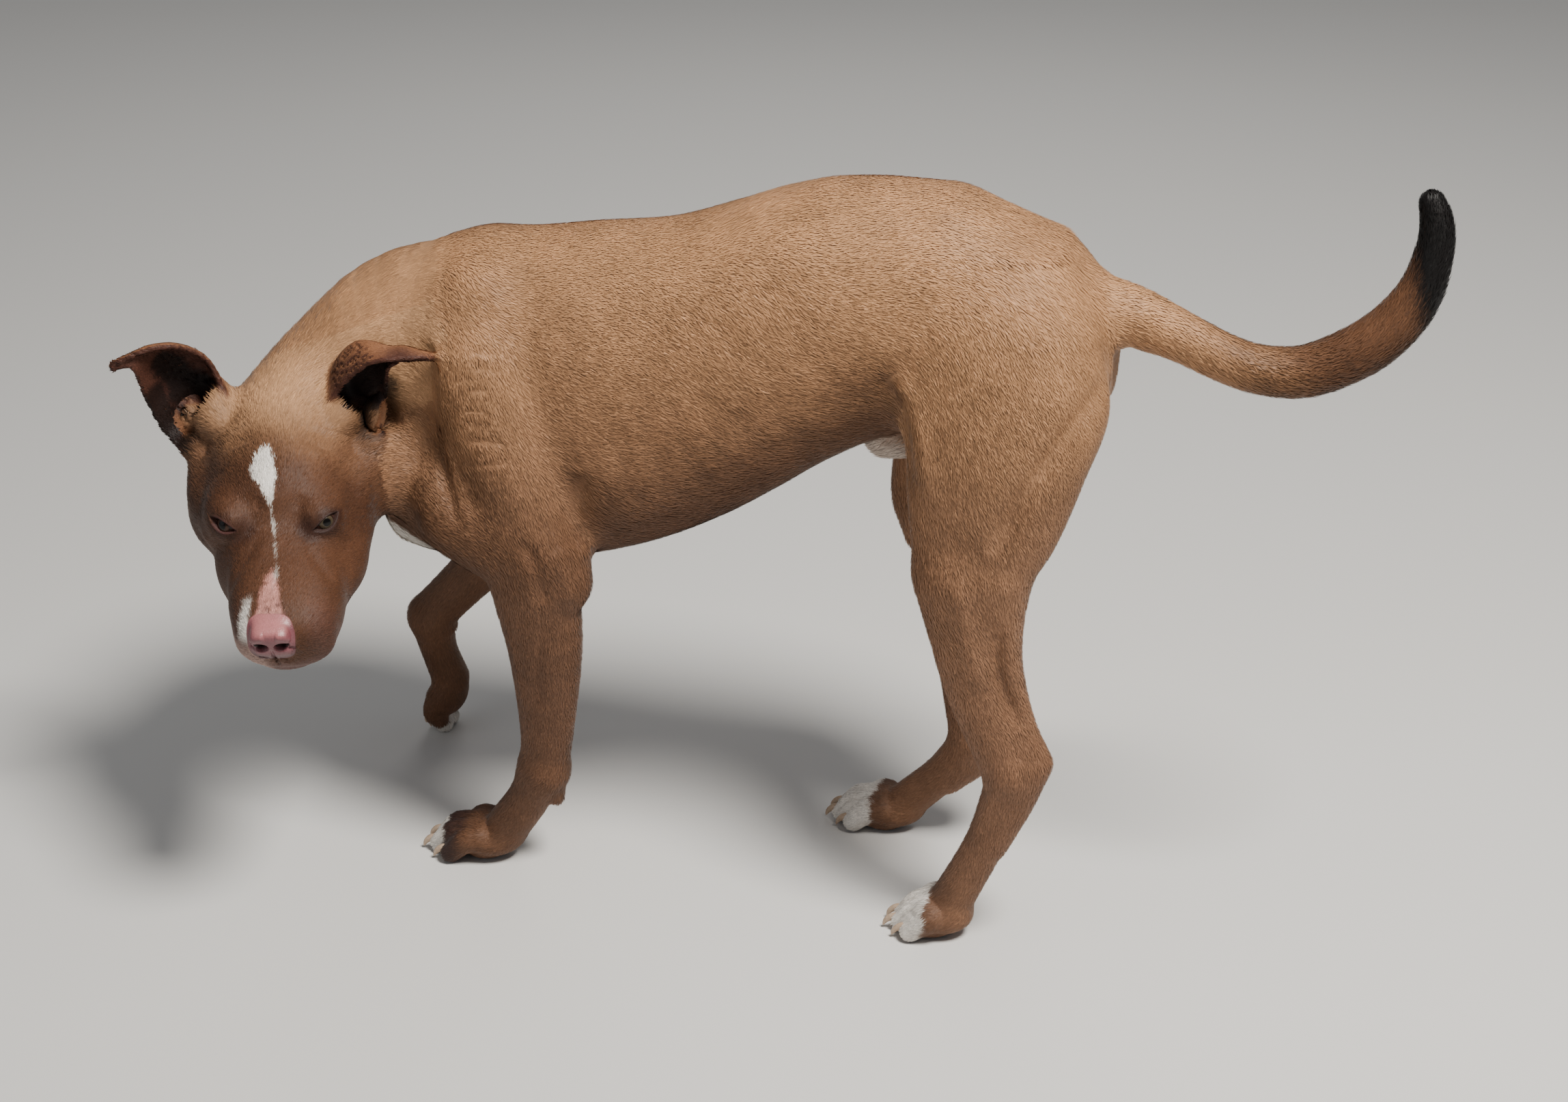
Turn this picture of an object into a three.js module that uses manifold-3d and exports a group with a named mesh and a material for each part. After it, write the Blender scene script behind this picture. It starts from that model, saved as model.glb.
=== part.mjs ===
// A short-haired, medium-sized male dog at life size. It stands with an arched back and a
// lowered head turned over its left shoulder, the right forefoot just touching with its toes.
// Millimetres, +Z up. The dog faces -X, so its left side is -Y. The flesh is one smooth
// implicit body, meshed part by part and parted by thin cuts. The sizes below are heights
// above a working floor at FLOOR; the finished group is moved so that the floor is Z = 0 and
// the origin lies under the middle of the dog.
import * as THREE from 'three';
import Module from 'manifold-3d';

// --- driving sizes ------------------------------------------------------------------
const FLOOR = 9; // working height of the floor
const CENTRE_X = 6; // working position of the middle of the dog
const CENTRE_Y = -59;
const GAP = 0.3; // clear space between neighbouring parts
const SECTION_POWER = 2.2; // roundness of the trunk's sections
const HEAD_SCALE = 0.955;
const HEAD_ORIGIN = [-337.6, -178, 339.4]; // midway between the eyes
const HEAD_YAW = 111; // turned to the dog's left
const HEAD_PITCH = 27; // nose down
const HEAD_ROLL = 0.5;
const EYE_RADIUS = 10.5;
const EYE_DEPTH = 9; // eye centre behind the opening of the lids
const EAR_THICKNESS = 5.2;
const CLAW_RADIUS = 3.3;
const NECK_CUT = -103.7; // head-local position of the cut behind the skull
const TAIL_CUT = 262;

// Trunk sections: position, top, bottom, half width, height of the widest line.
const TRUNK = [
  [-335, 395, 284, 26, 345], [-310, 452, 256, 62, 352], [-270, 509, 252, 80, 365],
  [-240, 522, 252, 86, 370], [-200, 526, 256, 88, 372], [-150, 534, 270, 92, 380],
  [-95, 542, 290, 95, 395], [-40, 560, 318, 92, 425], [0, 575, 344, 87, 450],
  [40, 585, 372, 82, 475], [80, 588, 394, 78, 490], [120, 588, 408, 78, 492],
  [160, 576, 415, 78, 485], [200, 557, 412, 74, 475], [232, 533, 418, 53, 468],
  [248, 507, 448, 24, 476],
];
// Muzzle sections along the head: position, top, bottom, half width, widest line, side shift.
const MUZZLE = [
  [-40, 12, -64, 54, -22, 0], [0, 12, -64, 48, -26, 4], [30, 8, -65, 46, -28, 7],
  [60, 6, -64, 44, -28, 9], [80, 3, -61, 40, -28, 9], [91, -1, -58, 37, -30, 9],
  [98, -6, -53, 31, -30, 9], [103, -14, -45, 20, -30, 8], [105, -22, -38, 8, -30, 7],
];
// Thigh sections: height, outer side, inner side, front, rear.
const THIGH_LEFT = [
  [548, 48, 5, 140, 208], [525, 68, 6, 124, 224], [500, 82, 8, 112, 242],
  [450, 95, 14, 107, 255], [400, 100, 28, 112, 242], [350, 98, 44, 118, 225],
  [315, 93, 52, 127, 207], [282, 84, 58, 140, 194],
];
const THIGH_RIGHT = [
  [548, 48, 5, 136, 202], [525, 68, 6, 120, 214], [500, 82, 8, 106, 227],
  [450, 93, 14, 90, 231], [400, 97, 28, 78, 214], [350, 95, 42, 68, 198],
  [310, 90, 50, 69, 167], [280, 82, 56, 82, 146],
];
// Tail: points and radii from the root to the tip.
const TAIL = [
  [[236, 0, 508], 25], [[262, 0, 503], 22.5], [[292, 0, 493], 19], [[325, 0, 480], 18],
  [[352, 0, 474], 18.5], [[383, 0, 477], 19.5], [[417, 0, 496], 19.8], [[439, 0, 518], 18.5],
  [[453, 0, 543], 16.5], [[459, 0, 573], 13.8], [[458, 0, 592], 12.2], [[454, 0, 604], 10],
];
// Ears in head-local sizes. Each row, root to tip: front edge, middle of the back, rear edge.
const EAR_LEFT = [
  [[-90, 38, 30], [-122, 46, 36], [-76, 72, 0]], [[-91, 52, 56], [-121, 54, 58], [-84, 80, 18]],
  [[-88, 67, 75], [-119, 66, 74], [-92, 84, 38]], [[-85, 80, 88], [-112, 79, 81], [-94, 87, 58]],
  [[-83, 90, 92], [-104, 92, 84], [-90, 91, 76]], [[-84, 104, 92], [-99, 106, 88], [-90, 104, 82]],
  [[-88, 122, 88], [-92, 124, 86], [-90, 121, 83]],
];
const EAR_RIGHT = [
  [[-94, -38, 28], [-122, -53, 28], [-74, -76, 0]],
  [[-106, -44, 50], [-124, -64, 43], [-84, -90, 16]],
  [[-112, -52, 68], [-121, -74, 60], [-91, -97, 36]],
  [[-109, -63, 82], [-114, -82, 77], [-92, -100, 58]],
  [[-103, -75, 92], [-106, -88, 88], [-89, -101, 80]],
  [[-94, -91, 98], [-96, -97, 95], [-87, -106, 88]],
  [[-86, -113, 94], [-87, -116, 92], [-85, -117, 88]],
];

// --- small vector helpers -----------------------------------------------------------
const add = (a, b) => [a[0] + b[0], a[1] + b[1], a[2] + b[2]];
const sub = (a, b) => [a[0] - b[0], a[1] - b[1], a[2] - b[2]];
const mul = (a, s) => [a[0] * s, a[1] * s, a[2] * s];
const dot = (a, b) => a[0] * b[0] + a[1] * b[1] + a[2] * b[2];
const cross = (a, b) => [
  a[1] * b[2] - a[2] * b[1], a[2] * b[0] - a[0] * b[2], a[0] * b[1] - a[1] * b[0],
];
const size = (a) => Math.hypot(a[0], a[1], a[2]);
const unit = (a) => mul(a, 1 / size(a));
const clamp = (x, lo, hi) => Math.min(hi, Math.max(lo, x));
const radians = (degrees) => (degrees * Math.PI) / 180;

// A frame is an origin with three axes; `place` goes out of it and `local` into it.
const frame = (origin, x, y, z) => ({ origin, x, y, z });
const place = (f, p) => add(f.origin, add(mul(f.x, p[0]), add(mul(f.y, p[1]), mul(f.z, p[2]))));
const local = (f, p) => {
  const q = sub(p, f.origin);
  return [dot(q, f.x), dot(q, f.y), dot(q, f.z)];
};
const WORLD = frame([0, 0, 0], [1, 0, 0], [0, 1, 0], [0, 0, 1]);

// Head frame: x forward along the bridge of the nose, y to the dog's left, z up.
function headFrame() {
  const [yaw, pitch, roll] = [HEAD_YAW, HEAD_PITCH, HEAD_ROLL].map(radians);
  const forward = [
    -Math.cos(yaw) * Math.cos(pitch), -Math.sin(yaw) * Math.cos(pitch), -Math.sin(pitch),
  ];
  const level = [Math.sin(yaw), -Math.cos(yaw), 0];
  const rise = cross(forward, level);
  const left = add(mul(level, Math.cos(roll)), mul(rise, Math.sin(roll)));
  return frame(HEAD_ORIGIN, forward, left, cross(forward, left));
}
const HEAD = headFrame();
const onHead = (x, y, z) => place(HEAD, mul([x, y, z], HEAD_SCALE));

// --- implicit shapes: each gives a signed distance and the box it lies in ---------------
function ellipsoid(centre, radii, f = WORLD) {
  const reach = Math.max(...radii);
  const at = (p) => {
    const q = local({ ...f, origin: centre }, p);
    const k0 = Math.hypot(q[0] / radii[0], q[1] / radii[1], q[2] / radii[2]);
    const k1 = Math.hypot(q[0] / radii[0] ** 2, q[1] / radii[1] ** 2, q[2] / radii[2] ** 2);
    return k0 < 1e-3 ? -Math.min(...radii) : (k0 * (k0 - 1)) / k1;
  };
  return { at, lo: sub(centre, [reach, reach, reach]), hi: add(centre, [reach, reach, reach]) };
}

// A limb: a round body along a smooth curve through points, with a radius at each.
// `flat` scales its thickness along the `across` direction.
function limb(points, radii, { flat = 1, across = [0, 1, 0], steps = 4 } = {}) {
  const curve = new SmoothRow(points.map((p, i) => [...p, radii[i]]));
  const nodes = [];
  for (let i = 0; i <= (points.length - 1) * steps; i += 1) nodes.push(curve.at(i / steps));
  const parts = [];
  for (let i = 0; i + 1 < nodes.length; i += 1) {
    const start = nodes[i].slice(0, 3);
    const along = sub(nodes[i + 1].slice(0, 3), start);
    const length = size(along);
    const axis = mul(along, 1 / length);
    const side = unit(sub(across, mul(axis, dot(across, axis))));
    parts.push({ start, axis, length, side, r0: nodes[i][3], r1: nodes[i + 1][3] });
  }
  const at = (p) => {
    let best = 1e9;
    for (const s of parts) {
      let q = sub(p, s.start);
      if (flat !== 1) q = add(q, mul(s.side, dot(q, s.side) * (1 / flat - 1)));
      const t = clamp(dot(q, s.axis) / s.length, 0, 1);
      const d = size(sub(q, mul(s.axis, t * s.length))) - (s.r0 + (s.r1 - s.r0) * t);
      best = Math.min(best, d);
    }
    return best;
  };
  const reach = Math.max(...nodes.map((n) => n[3])) * Math.max(1, flat, 1 / flat);
  const lo = [0, 1, 2].map((a) => Math.min(...nodes.map((n) => n[a])) - reach);
  const hi = [0, 1, 2].map((a) => Math.max(...nodes.map((n) => n[a])) + reach);
  return { at, lo, hi };
}

// Catmull-Rom interpolation through rows of numbers.
class SmoothRow {
  constructor(rows) {
    this.rows = rows;
  }

  at(t) {
    const last = this.rows.length - 1;
    const i = clamp(Math.floor(t), 0, last - 1);
    const u = t - i;
    const b = this.rows[i];
    const c = this.rows[i + 1];
    const a = i > 0 ? this.rows[i - 1] : b.map((v, k) => 2 * v - c[k]);
    const d = i + 2 <= last ? this.rows[i + 2] : c.map((v, k) => 2 * v - b[k]);
    return b.map((v, k) => {
      const lin = (c[k] - a[k]) * u;
      const sq = (2 * a[k] - 5 * v + 4 * c[k] - d[k]) * u * u;
      const cub = (3 * v - a[k] - 3 * c[k] + d[k]) * u * u * u;
      return 0.5 * (2 * v + lin + sq + cub);
    });
  }
}

// Monotone cubic through rows that start with their position.
function monotone(rows) {
  const n = rows.length;
  const columns = rows[0].length;
  const slopes = [];
  for (let i = 0; i + 1 < n; i += 1) {
    const h = rows[i + 1][0] - rows[i][0];
    slopes.push(rows[i].map((v, k) => (rows[i + 1][k] - v) / h));
  }
  const tangents = rows.map((row, i) => row.map((v, k) => {
    if (i === 0) return slopes[0][k];
    if (i === n - 1) return slopes[n - 2][k];
    const [m0, m1] = [slopes[i - 1][k], slopes[i][k]];
    if (m0 * m1 <= 0) return 0;
    const [h0, h1] = [row[0] - rows[i - 1][0], rows[i + 1][0] - row[0]];
    const [w0, w1] = [2 * h1 + h0, h1 + 2 * h0];
    return (w0 + w1) / (w0 / m0 + w1 / m1);
  }));
  return (x) => {
    let i = 0;
    while (i < n - 2 && x > rows[i + 1][0]) i += 1;
    const h = rows[i + 1][0] - rows[i][0];
    const t = (x - rows[i][0]) / h;
    const out = [];
    for (let k = 0; k < columns; k += 1) {
      const a = (2 * t ** 3 - 3 * t * t + 1) * rows[i][k];
      const b = (t ** 3 - 2 * t * t + t) * h * tangents[i][k];
      const c = (3 * t * t - 2 * t ** 3) * rows[i + 1][k];
      const d = (t ** 3 - t * t) * h * tangents[i + 1][k];
      out.push(a + b + c + d);
    }
    return out;
  };
}

// A lofted body. Rows: position, top, bottom, half width, widest line, side shift.
function loft(rows, f = WORLD, power = SECTION_POWER) {
  const full = rows.map((r) => (r.length === 5 ? [...r, 0] : r));
  const section = monotone(full);
  const [x0, x1] = [full[0][0], full[full.length - 1][0]];
  const at = (p) => {
    const q = local(f, p);
    const x = clamp(q[0], x0, x1);
    const [, top, bottom, halfWidth, widest, shift] = section(x);
    const z = q[2] - widest;
    const tall = Math.max(z > 0 ? top - widest : widest - bottom, 1);
    const wide = Math.max(halfWidth, 1);
    const y = Math.abs(q[1] - shift);
    const ratio = ((y / wide) ** power + (Math.abs(z) / tall) ** power) ** (1 / power) + 1e-6;
    const r = Math.hypot(y, z);
    const inner = -Math.min(wide, tall);
    const d = r < 1e-3 ? inner : Math.max(r * (1 - 1 / ratio), inner);
    const toEnd = Math.max(x0 - x, x - x1);
    return x === q[0] ? Math.max(d, toEnd) : Math.hypot(Math.max(d, 0), q[0] - x);
  };
  const corners = [];
  for (const row of full) {
    for (const y of [row[5] - row[3], row[5] + row[3]]) {
      for (const z of [row[1], row[2]]) corners.push(place(f, [row[0], y, z]));
    }
  }
  const lo = [0, 1, 2].map((a) => Math.min(...corners.map((c) => c[a])));
  const hi = [0, 1, 2].map((a) => Math.max(...corners.map((c) => c[a])));
  return { at, lo, hi };
}

// --- the body -----------------------------------------------------------------------
const flesh = []; // { region, blend, shape }
const put = (region, blend, shape) => flesh.push({ region, blend, shape });
const clawRoots = []; // { name, from, to }

function bodyDistance(items, p, band) {
  let d = 1e3;
  for (const { blend, shape } of items) {
    const reach = band + blend;
    const near = [0, 1, 2].every((a) => p[a] > shape.lo[a] - reach && p[a] < shape.hi[a] + reach);
    if (near) {
      const v = shape.at(p);
      const h = clamp(0.5 + (0.5 * (v - d)) / blend, 0, 1);
      d = v * (1 - h) + d * h - blend * h * (1 - h);
    }
  }
  return d;
}

const headBall = (x, y, z, rx, ry, rz) => {
  const radii = [rx, ry, rz].map((r) => r * HEAD_SCALE);
  return ellipsoid(onHead(x, y, z), radii, HEAD);
};

put('trunk', 1, loft(TRUNK));
put('neck', 22, limb(
  [[-222, 0, 422], [-288, -6, 425], [-340, -38, 399], onHead(-100, 0, -12)],
  [84, 78, 63, 51],
  { steps: 6 },
));
put('head', 12, headBall(-74, 0, -8, 66, 60, 52)); // skull
put('head', 14, headBall(-38, 0, 0, 46, 48, 40)); // forehead
for (const side of [-1, 1]) {
  put('head', 10, headBall(-10, side * 33, 8, 22, 17, 15)); // brow
  put('head', 14, headBall(-52, side * 46, -32, 48, 31, 38)); // cheek muscle
  put('head', 14, headBall(-2, side * 38 + 8, -38, 44, 22, 26)); // jaw
  put('head', 10, headBall(-16, side * 45, -1, 26, 11, 15)); // temple
  put('head', 10, limb( // cheekbone
    [onHead(-8, side * 47, -14), onHead(-40, side * 58, -12), onHead(-70, side * 64, -8)],
    [12 * HEAD_SCALE, 12 * HEAD_SCALE, 11 * HEAD_SCALE],
  ));
}
put('head', 12, loft(MUZZLE.map((row) => row.map((v) => v * HEAD_SCALE)), HEAD, 2.4));
put('head', 4, headBall(95, 2, -15, 13, 17.5, 16.5)); // nose
put('head', 8, headBall(75, 6, -60, 19, 28, 13)); // chin
for (const side of [1, -1]) {
  put('head', 10, headBall(-98, side * 50, 22, 26, 20, 22)); // ear root
  put('head', 8, headBall(-80, side * 66, 2, 13, 13, 13)); // below the ear
}

// A standing foot: its middle on the floor, its heading, the reach of the toes, half its width.
function standingFoot(region, middle, heading, reach, half) {
  const forward = unit([heading[0], heading[1], 0]);
  const across = [-forward[1], forward[0], 0];
  const f = frame(middle, forward, across, [0, 0, 1]);
  put(region, 10, ellipsoid(place(f, [-5, 0, 18]), [28, half - 1, 16], f));
  const toes = [[-0.78, 0.7], [-0.29, 1], [0.29, 1], [0.78, 0.7]];
  toes.forEach(([side, length], i) => {
    const y = side * half;
    const x = reach * length;
    put(region, 5, limb(
      [place(f, [0, y * 0.85, 23]), place(f, [x - 23, y, 20.5]), place(f, [x - 10, y, 8.6])],
      [10, 10, 9],
      { steps: 3 },
    ));
    clawRoots.push({
      name: `${region}_${i + 1}`,
      path: [[x - 9, y, 12.5], [x - 2, y * 1.02, 11.5], [x + 3, y * 1.03, 7.5], [x + 5.5, y * 1.03, 2.5]]
        .map((p) => place(f, p)),
    });
  });
  put(region, 6, ellipsoid(place(f, [0, 0, 7]), [17, 17, 9]));
}

// Left foreleg: it carries the weight.
put('trunk', 30, ellipsoid([-228, -50, 426], [36, 26, 80])); // shoulder blade
put('foreL', 22, limb([[-285, -64, 350], [-228, -76, 318], [-172, -82, 292]], [38, 38, 34]));
put('foreL', 22, limb([[-215, -62, 425], [-190, -76, 360], [-162, -82, 302]], [40, 36, 28]));
put('foreL', 10, ellipsoid([-144, -85, 277], [18, 19, 22])); // elbow
put('foreL', 10, limb(
  [[-173, -84, 270], [-169, -80, 212], [-173, -74, 142], [-179, -70, 98]],
  [36, 30, 22.5, 20],
  { flat: 0.88 },
));
put('foreL', 6, ellipsoid([-168, -69, 77], [6, 7, 9])); // stopper pad
put('foreL', 10, limb([[-179, -70, 100], [-194, -68, 70], [-212, -66, 43]], [20, 18, 18], { flat: 1.1 }));
standingFoot('foreL', [-236, -66, FLOOR], [-1, -0.06], 46, 26);

// Right foreleg: bent at the wrist, the foot hanging with its toe tips on the floor.
put('trunk', 30, ellipsoid([-240, 50, 424], [36, 26, 78]));
put('foreR', 22, limb([[-292, 64, 345], [-258, 76, 310], [-222, 84, 276]], [36, 35, 31]));
put('foreR', 22, limb([[-225, 62, 420], [-210, 74, 350], [-198, 82, 292]], [38, 34, 26]));
put('foreR', 10, ellipsoid([-194, 86, 276], [17, 17, 19]));
put('foreR', 10, limb(
  [[-224, 86, 264], [-265, 89, 226], [-316, 93, 172], [-352, 96, 133]],
  [31, 26, 21.5, 20.5],
  { flat: 0.9 },
));
put('foreR', 8, limb([[-352, 96, 130], [-351, 104, 96], [-346, 112, 66]], [20, 16.5, 17], { flat: 1.05 }));
put('foreR', 5, ellipsoid([-336, 98, 124], [7, 8, 8]));
function hangingFoot() {
  const down = unit([-0.16, 0.1, -1]);
  const across = unit(cross(down, [1, 0, 0]));
  const front = cross(across, down);
  const f = frame([-347, 115, 53], down, across, front);
  const face = front[0] < 0 ? 1 : -1;
  put('foreR', 8, ellipsoid(place(f, [4, 0, 0]), [23, 23, 15], f));
  [[-18, 33], [-7, 45], [7, 45], [18, 33]].forEach(([y, x], i) => {
    put('foreR', 5, limb(
      [place(f, [4, y * 0.85, face * 6]), place(f, [x - 14, y, face * 8]), place(f, [x - 7, y, face * 2])],
      [10.5, 9.5, 8.5],
      { steps: 3 },
    ));
    clawRoots.push({
      name: `foreR_${i + 1}`,
      path: [[x - 12, y, face * 9], [x - 7, y, face * 12.5], [x - 3, y, face * 14], [x + 0.5, y, face * 14]]
        .map((p) => place(f, p)),
    });
  });
}
hangingFoot();

// Thighs are lofts with their own frame: x down, y to the rear, z outward.
function thigh(region, rows, side) {
  const top = 600;
  const f = frame([0, 0, top], [0, 0, -1], [1, 0, 0], [0, side, 0]);
  const sections = rows.map(([height, outer, inner, front, rear]) => [
    top - height, outer, inner, (rear - front) / 2, (outer + inner) / 2, (rear + front) / 2,
  ]);
  put(region, 24, loft(sections, f));
}
thigh('hindL', THIGH_LEFT, -1);
thigh('hindR', THIGH_RIGHT, 1);
// Lower hind legs: shin, calf running down to the point of the hock, then the long foot.
put('hindL', 18, limb([[156, -74, 316], [171, -75, 240], [199, -74, 170]], [33, 26, 23], { flat: 0.85 }));
put('hindL', 10, limb([[184, -74, 322], [191, -76, 262], [206, -75, 212], [220, -75, 178]], [24, 15, 10.5, 11.5]));
put('hindL', 8, limb([[204, -75, 166], [184, -71, 102], [158, -68, 42]], [21, 16.5, 17], { flat: 0.9 }));
put('hindL', 8, limb([[219, -75, 172], [208, -74, 140], [190, -72, 100]], [11, 11.5, 10]));
standingFoot('hindL', [141, -68, FLOOR], [-1, -0.04], 31, 23);
put('hindR', 18, limb([[106, 74, 308], [121, 71, 232], [142, 61, 114]], [33, 25, 21], { flat: 0.85 }));
put('hindR', 10, limb([[144, 74, 318], [149, 71, 240], [158, 65, 172], [164, 61, 128]], [26, 15, 11, 11.5]));
put('hindR', 8, limb([[143, 61, 110], [118, 66, 74], [88, 72, 40]], [20, 16.5, 16.5], { flat: 0.9 }));
put('hindR', 8, limb([[163, 61, 122], [148, 62, 92], [124, 66, 66]], [11, 11.5, 10]));
standingFoot('hindR', [64, 74, FLOOR], [-1, 0.04], 43, 23);
put('trunk', 10, limb([[160, 0, 402], [110, 0, 394], [80, 0, 388]], [18, 17, 15])); // sheath
put('tail', 16, limb(TAIL.map((t) => t[0]), TAIL.map((t) => t[1]), { steps: 3 }));

// --- meshing ------------------------------------------------------------------------
const EDGES = [
  [0, 1], [2, 3], [4, 5], [6, 7], [0, 2], [1, 3], [4, 6], [5, 7], [0, 4], [1, 5], [2, 6], [3, 7],
];

// Meshes the body inside a box of its own frame: one vertex to a crossed cell, then each
// vertex is drawn onto the surface. `swell` moves the whole surface outward.
function meshBody(items, f, lo, hi, cell, swell = 0) {
  const count = [0, 1, 2].map((a) => Math.max(2, Math.ceil((hi[a] - lo[a]) / cell) + 1));
  const [nx, ny, nz] = count;
  const step = [0, 1, 2].map((a) => (hi[a] - lo[a]) / (count[a] - 1));
  const spot = (i, j, k) => [lo[0] + i * step[0], lo[1] + j * step[1], lo[2] + k * step[2]];
  const index = (i, j, k) => (i * ny + j) * nz + k;
  const near = items.filter(({ shape, blend }) => touches(shape, blend + 30, f, lo, hi));
  const value = (q) => bodyDistance(near, place(f, q), 30) - swell;
  const grid = new Float64Array(nx * ny * nz);
  for (let i = 0; i < nx; i += 1) {
    for (let j = 0; j < ny; j += 1) {
      for (let k = 0; k < nz; k += 1) {
        const rim = i === 0 || j === 0 || k === 0 || i === nx - 1 || j === ny - 1 || k === nz - 1;
        const v = value(spot(i, j, k));
        grid[index(i, j, k)] = rim ? Math.max(v, 0.3 * cell) : v;
      }
    }
  }
  const vertex = new Int32Array(nx * ny * nz).fill(-1);
  const points = [];
  for (let i = 0; i + 1 < nx; i += 1) {
    for (let j = 0; j + 1 < ny; j += 1) {
      for (let k = 0; k + 1 < nz; k += 1) {
        const corner = [];
        for (let c = 0; c < 8; c += 1) {
          corner.push(grid[index(i + (c & 1), j + ((c >> 1) & 1), k + ((c >> 2) & 1))]);
        }
        let sum = [0, 0, 0];
        let n = 0;
        for (const [a, b] of EDGES) {
          if (corner[a] < 0 !== corner[b] < 0) {
            const t = corner[a] / (corner[a] - corner[b]);
            const pa = [a & 1, (a >> 1) & 1, (a >> 2) & 1];
            const pb = [b & 1, (b >> 1) & 1, (b >> 2) & 1];
            sum = add(sum, add(mul(pa, 1 - t), mul(pb, t)));
            n += 1;
          }
        }
        if (n > 0) {
          const m = mul(sum, 1 / n);
          vertex[index(i, j, k)] = points.length;
          points.push({ q: spot(i + m[0], j + m[1], k + m[2]), edge: onRim([i, j, k], count) });
        }
      }
    }
  }
  for (const p of points) if (!p.edge) p.q = settle(value, p.q, cell);
  const triangles = [];
  const quad = (a, b, c, d, flip) => {
    const [p, q, r, s] = flip ? [d, c, b, a] : [a, b, c, d];
    const split = size(sub(points[p].q, points[r].q)) <= size(sub(points[q].q, points[s].q));
    if (split) triangles.push(p, q, r, p, r, s);
    else triangles.push(p, q, s, q, r, s);
  };
  for (let i = 0; i + 1 < nx; i += 1) {
    for (let j = 0; j + 1 < ny; j += 1) {
      for (let k = 0; k + 1 < nz; k += 1) {
        const inside = grid[index(i, j, k)] < 0;
        const v = (di, dj, dk) => vertex[index(i - di, j - dj, k - dk)];
        if (j > 0 && k > 0 && inside !== grid[index(i + 1, j, k)] < 0) {
          quad(v(0, 1, 1), v(0, 0, 1), v(0, 0, 0), v(0, 1, 0), !inside);
        }
        if (i > 0 && k > 0 && inside !== grid[index(i, j + 1, k)] < 0) {
          quad(v(1, 0, 1), v(1, 0, 0), v(0, 0, 0), v(0, 0, 1), !inside);
        }
        if (i > 0 && j > 0 && inside !== grid[index(i, j, k + 1)] < 0) {
          quad(v(1, 1, 0), v(0, 1, 0), v(0, 0, 0), v(1, 0, 0), !inside);
        }
      }
    }
  }
  return solid(points.map((p) => place(f, p.q)), triangles);
}

const onRim = (cell, count) => cell.some((c, a) => c === 0 || c === count[a] - 2);

function touches(shape, reach, f, lo, hi) {
  const corners = [];
  for (const x of [lo[0], hi[0]]) {
    for (const y of [lo[1], hi[1]]) for (const z of [lo[2], hi[2]]) corners.push(place(f, [x, y, z]));
  }
  return [0, 1, 2].every((a) => {
    const values = corners.map((c) => c[a]);
    return Math.max(...values) > shape.lo[a] - reach && Math.min(...values) < shape.hi[a] + reach;
  });
}

// Moves a point onto the zero of `value`, at most two thirds of a cell.
function settle(value, start, cell) {
  let q = start;
  for (let round = 0; round < 3; round += 1) {
    const h = 0.05;
    const v = value(q);
    const slope = [0, 1, 2].map((a) => {
      const side = [0, 0, 0];
      side[a] = h;
      return (value(add(q, side)) - v) / h;
    });
    const steep = dot(slope, slope);
    if (steep < 0.05) return q;
    const next = sub(q, mul(slope, v / steep));
    if (size(sub(next, start)) > cell * 0.66) return q;
    q = next;
  }
  return q;
}

// --- solids -------------------------------------------------------------------------
const wasm = await Module();
wasm.setup();

function solid(points, triangles) {
  const vertProperties = new Float32Array(points.flat());
  const mesh = new wasm.Mesh({ numProp: 3, vertProperties, triVerts: new Uint32Array(triangles) });
  const made = new wasm.Manifold(mesh);
  if (made.volume() > 0) return made;
  const turned = [];
  for (let i = 0; i < triangles.length; i += 3) {
    turned.push(triangles[i], triangles[i + 2], triangles[i + 1]);
  }
  const other = new wasm.Mesh({ numProp: 3, vertProperties, triVerts: new Uint32Array(turned) });
  return new wasm.Manifold(other);
}

const largest = (body) => {
  const pieces = body.decompose();
  return pieces.reduce((best, p) => (p.volume() > best.volume() ? p : best));
};

function fromGeometry(geometry) {
  const position = geometry.getAttribute('position');
  const seen = new Map();
  const points = [];
  const remap = [];
  for (let i = 0; i < position.count; i += 1) {
    const p = [position.getX(i), position.getY(i), position.getZ(i)];
    const key = p.map((v) => Math.round(v * 1e4)).join();
    if (!seen.has(key)) {
      seen.set(key, points.length);
      points.push(p);
    }
    remap.push(seen.get(key));
  }
  const order = geometry.index ? [...geometry.index.array] : remap.map((_, i) => i);
  const triangles = [];
  for (let i = 0; i < order.length; i += 3) {
    const [a, b, c] = [remap[order[i]], remap[order[i + 1]], remap[order[i + 2]]];
    if (a !== b && b !== c && c !== a) triangles.push(a, b, c);
  }
  return solid(points, triangles);
}

// A block between two corners, grown by `more` on every side.
function block(lo, hi, more = 0) {
  const spans = sub(hi, lo).map((v) => v + 2 * more);
  const geometry = new THREE.BoxGeometry(...spans);
  geometry.translate(...mul(add(lo, hi), 0.5));
  return fromGeometry(geometry);
}

// Keeps what lies on the far side of a plane through `point`, facing `toward`.
const keepBeyond = (body, point, toward, clear = 0) => {
  const n = unit(toward);
  return body.trimByPlane(n, dot(n, point) + clear);
};

// A ball or ellipsoid solid in a frame.
function ball(centre, radii, f, across = 12, down = 7) {
  const geometry = new THREE.SphereGeometry(1, across, down);
  const m = new THREE.Matrix4().makeBasis(
    new THREE.Vector3(...mul(f.x, radii[0])),
    new THREE.Vector3(...mul(f.y, radii[1])),
    new THREE.Vector3(...mul(f.z, radii[2])),
  );
  m.setPosition(...centre);
  geometry.applyMatrix4(m);
  return fromGeometry(geometry);
}

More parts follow.
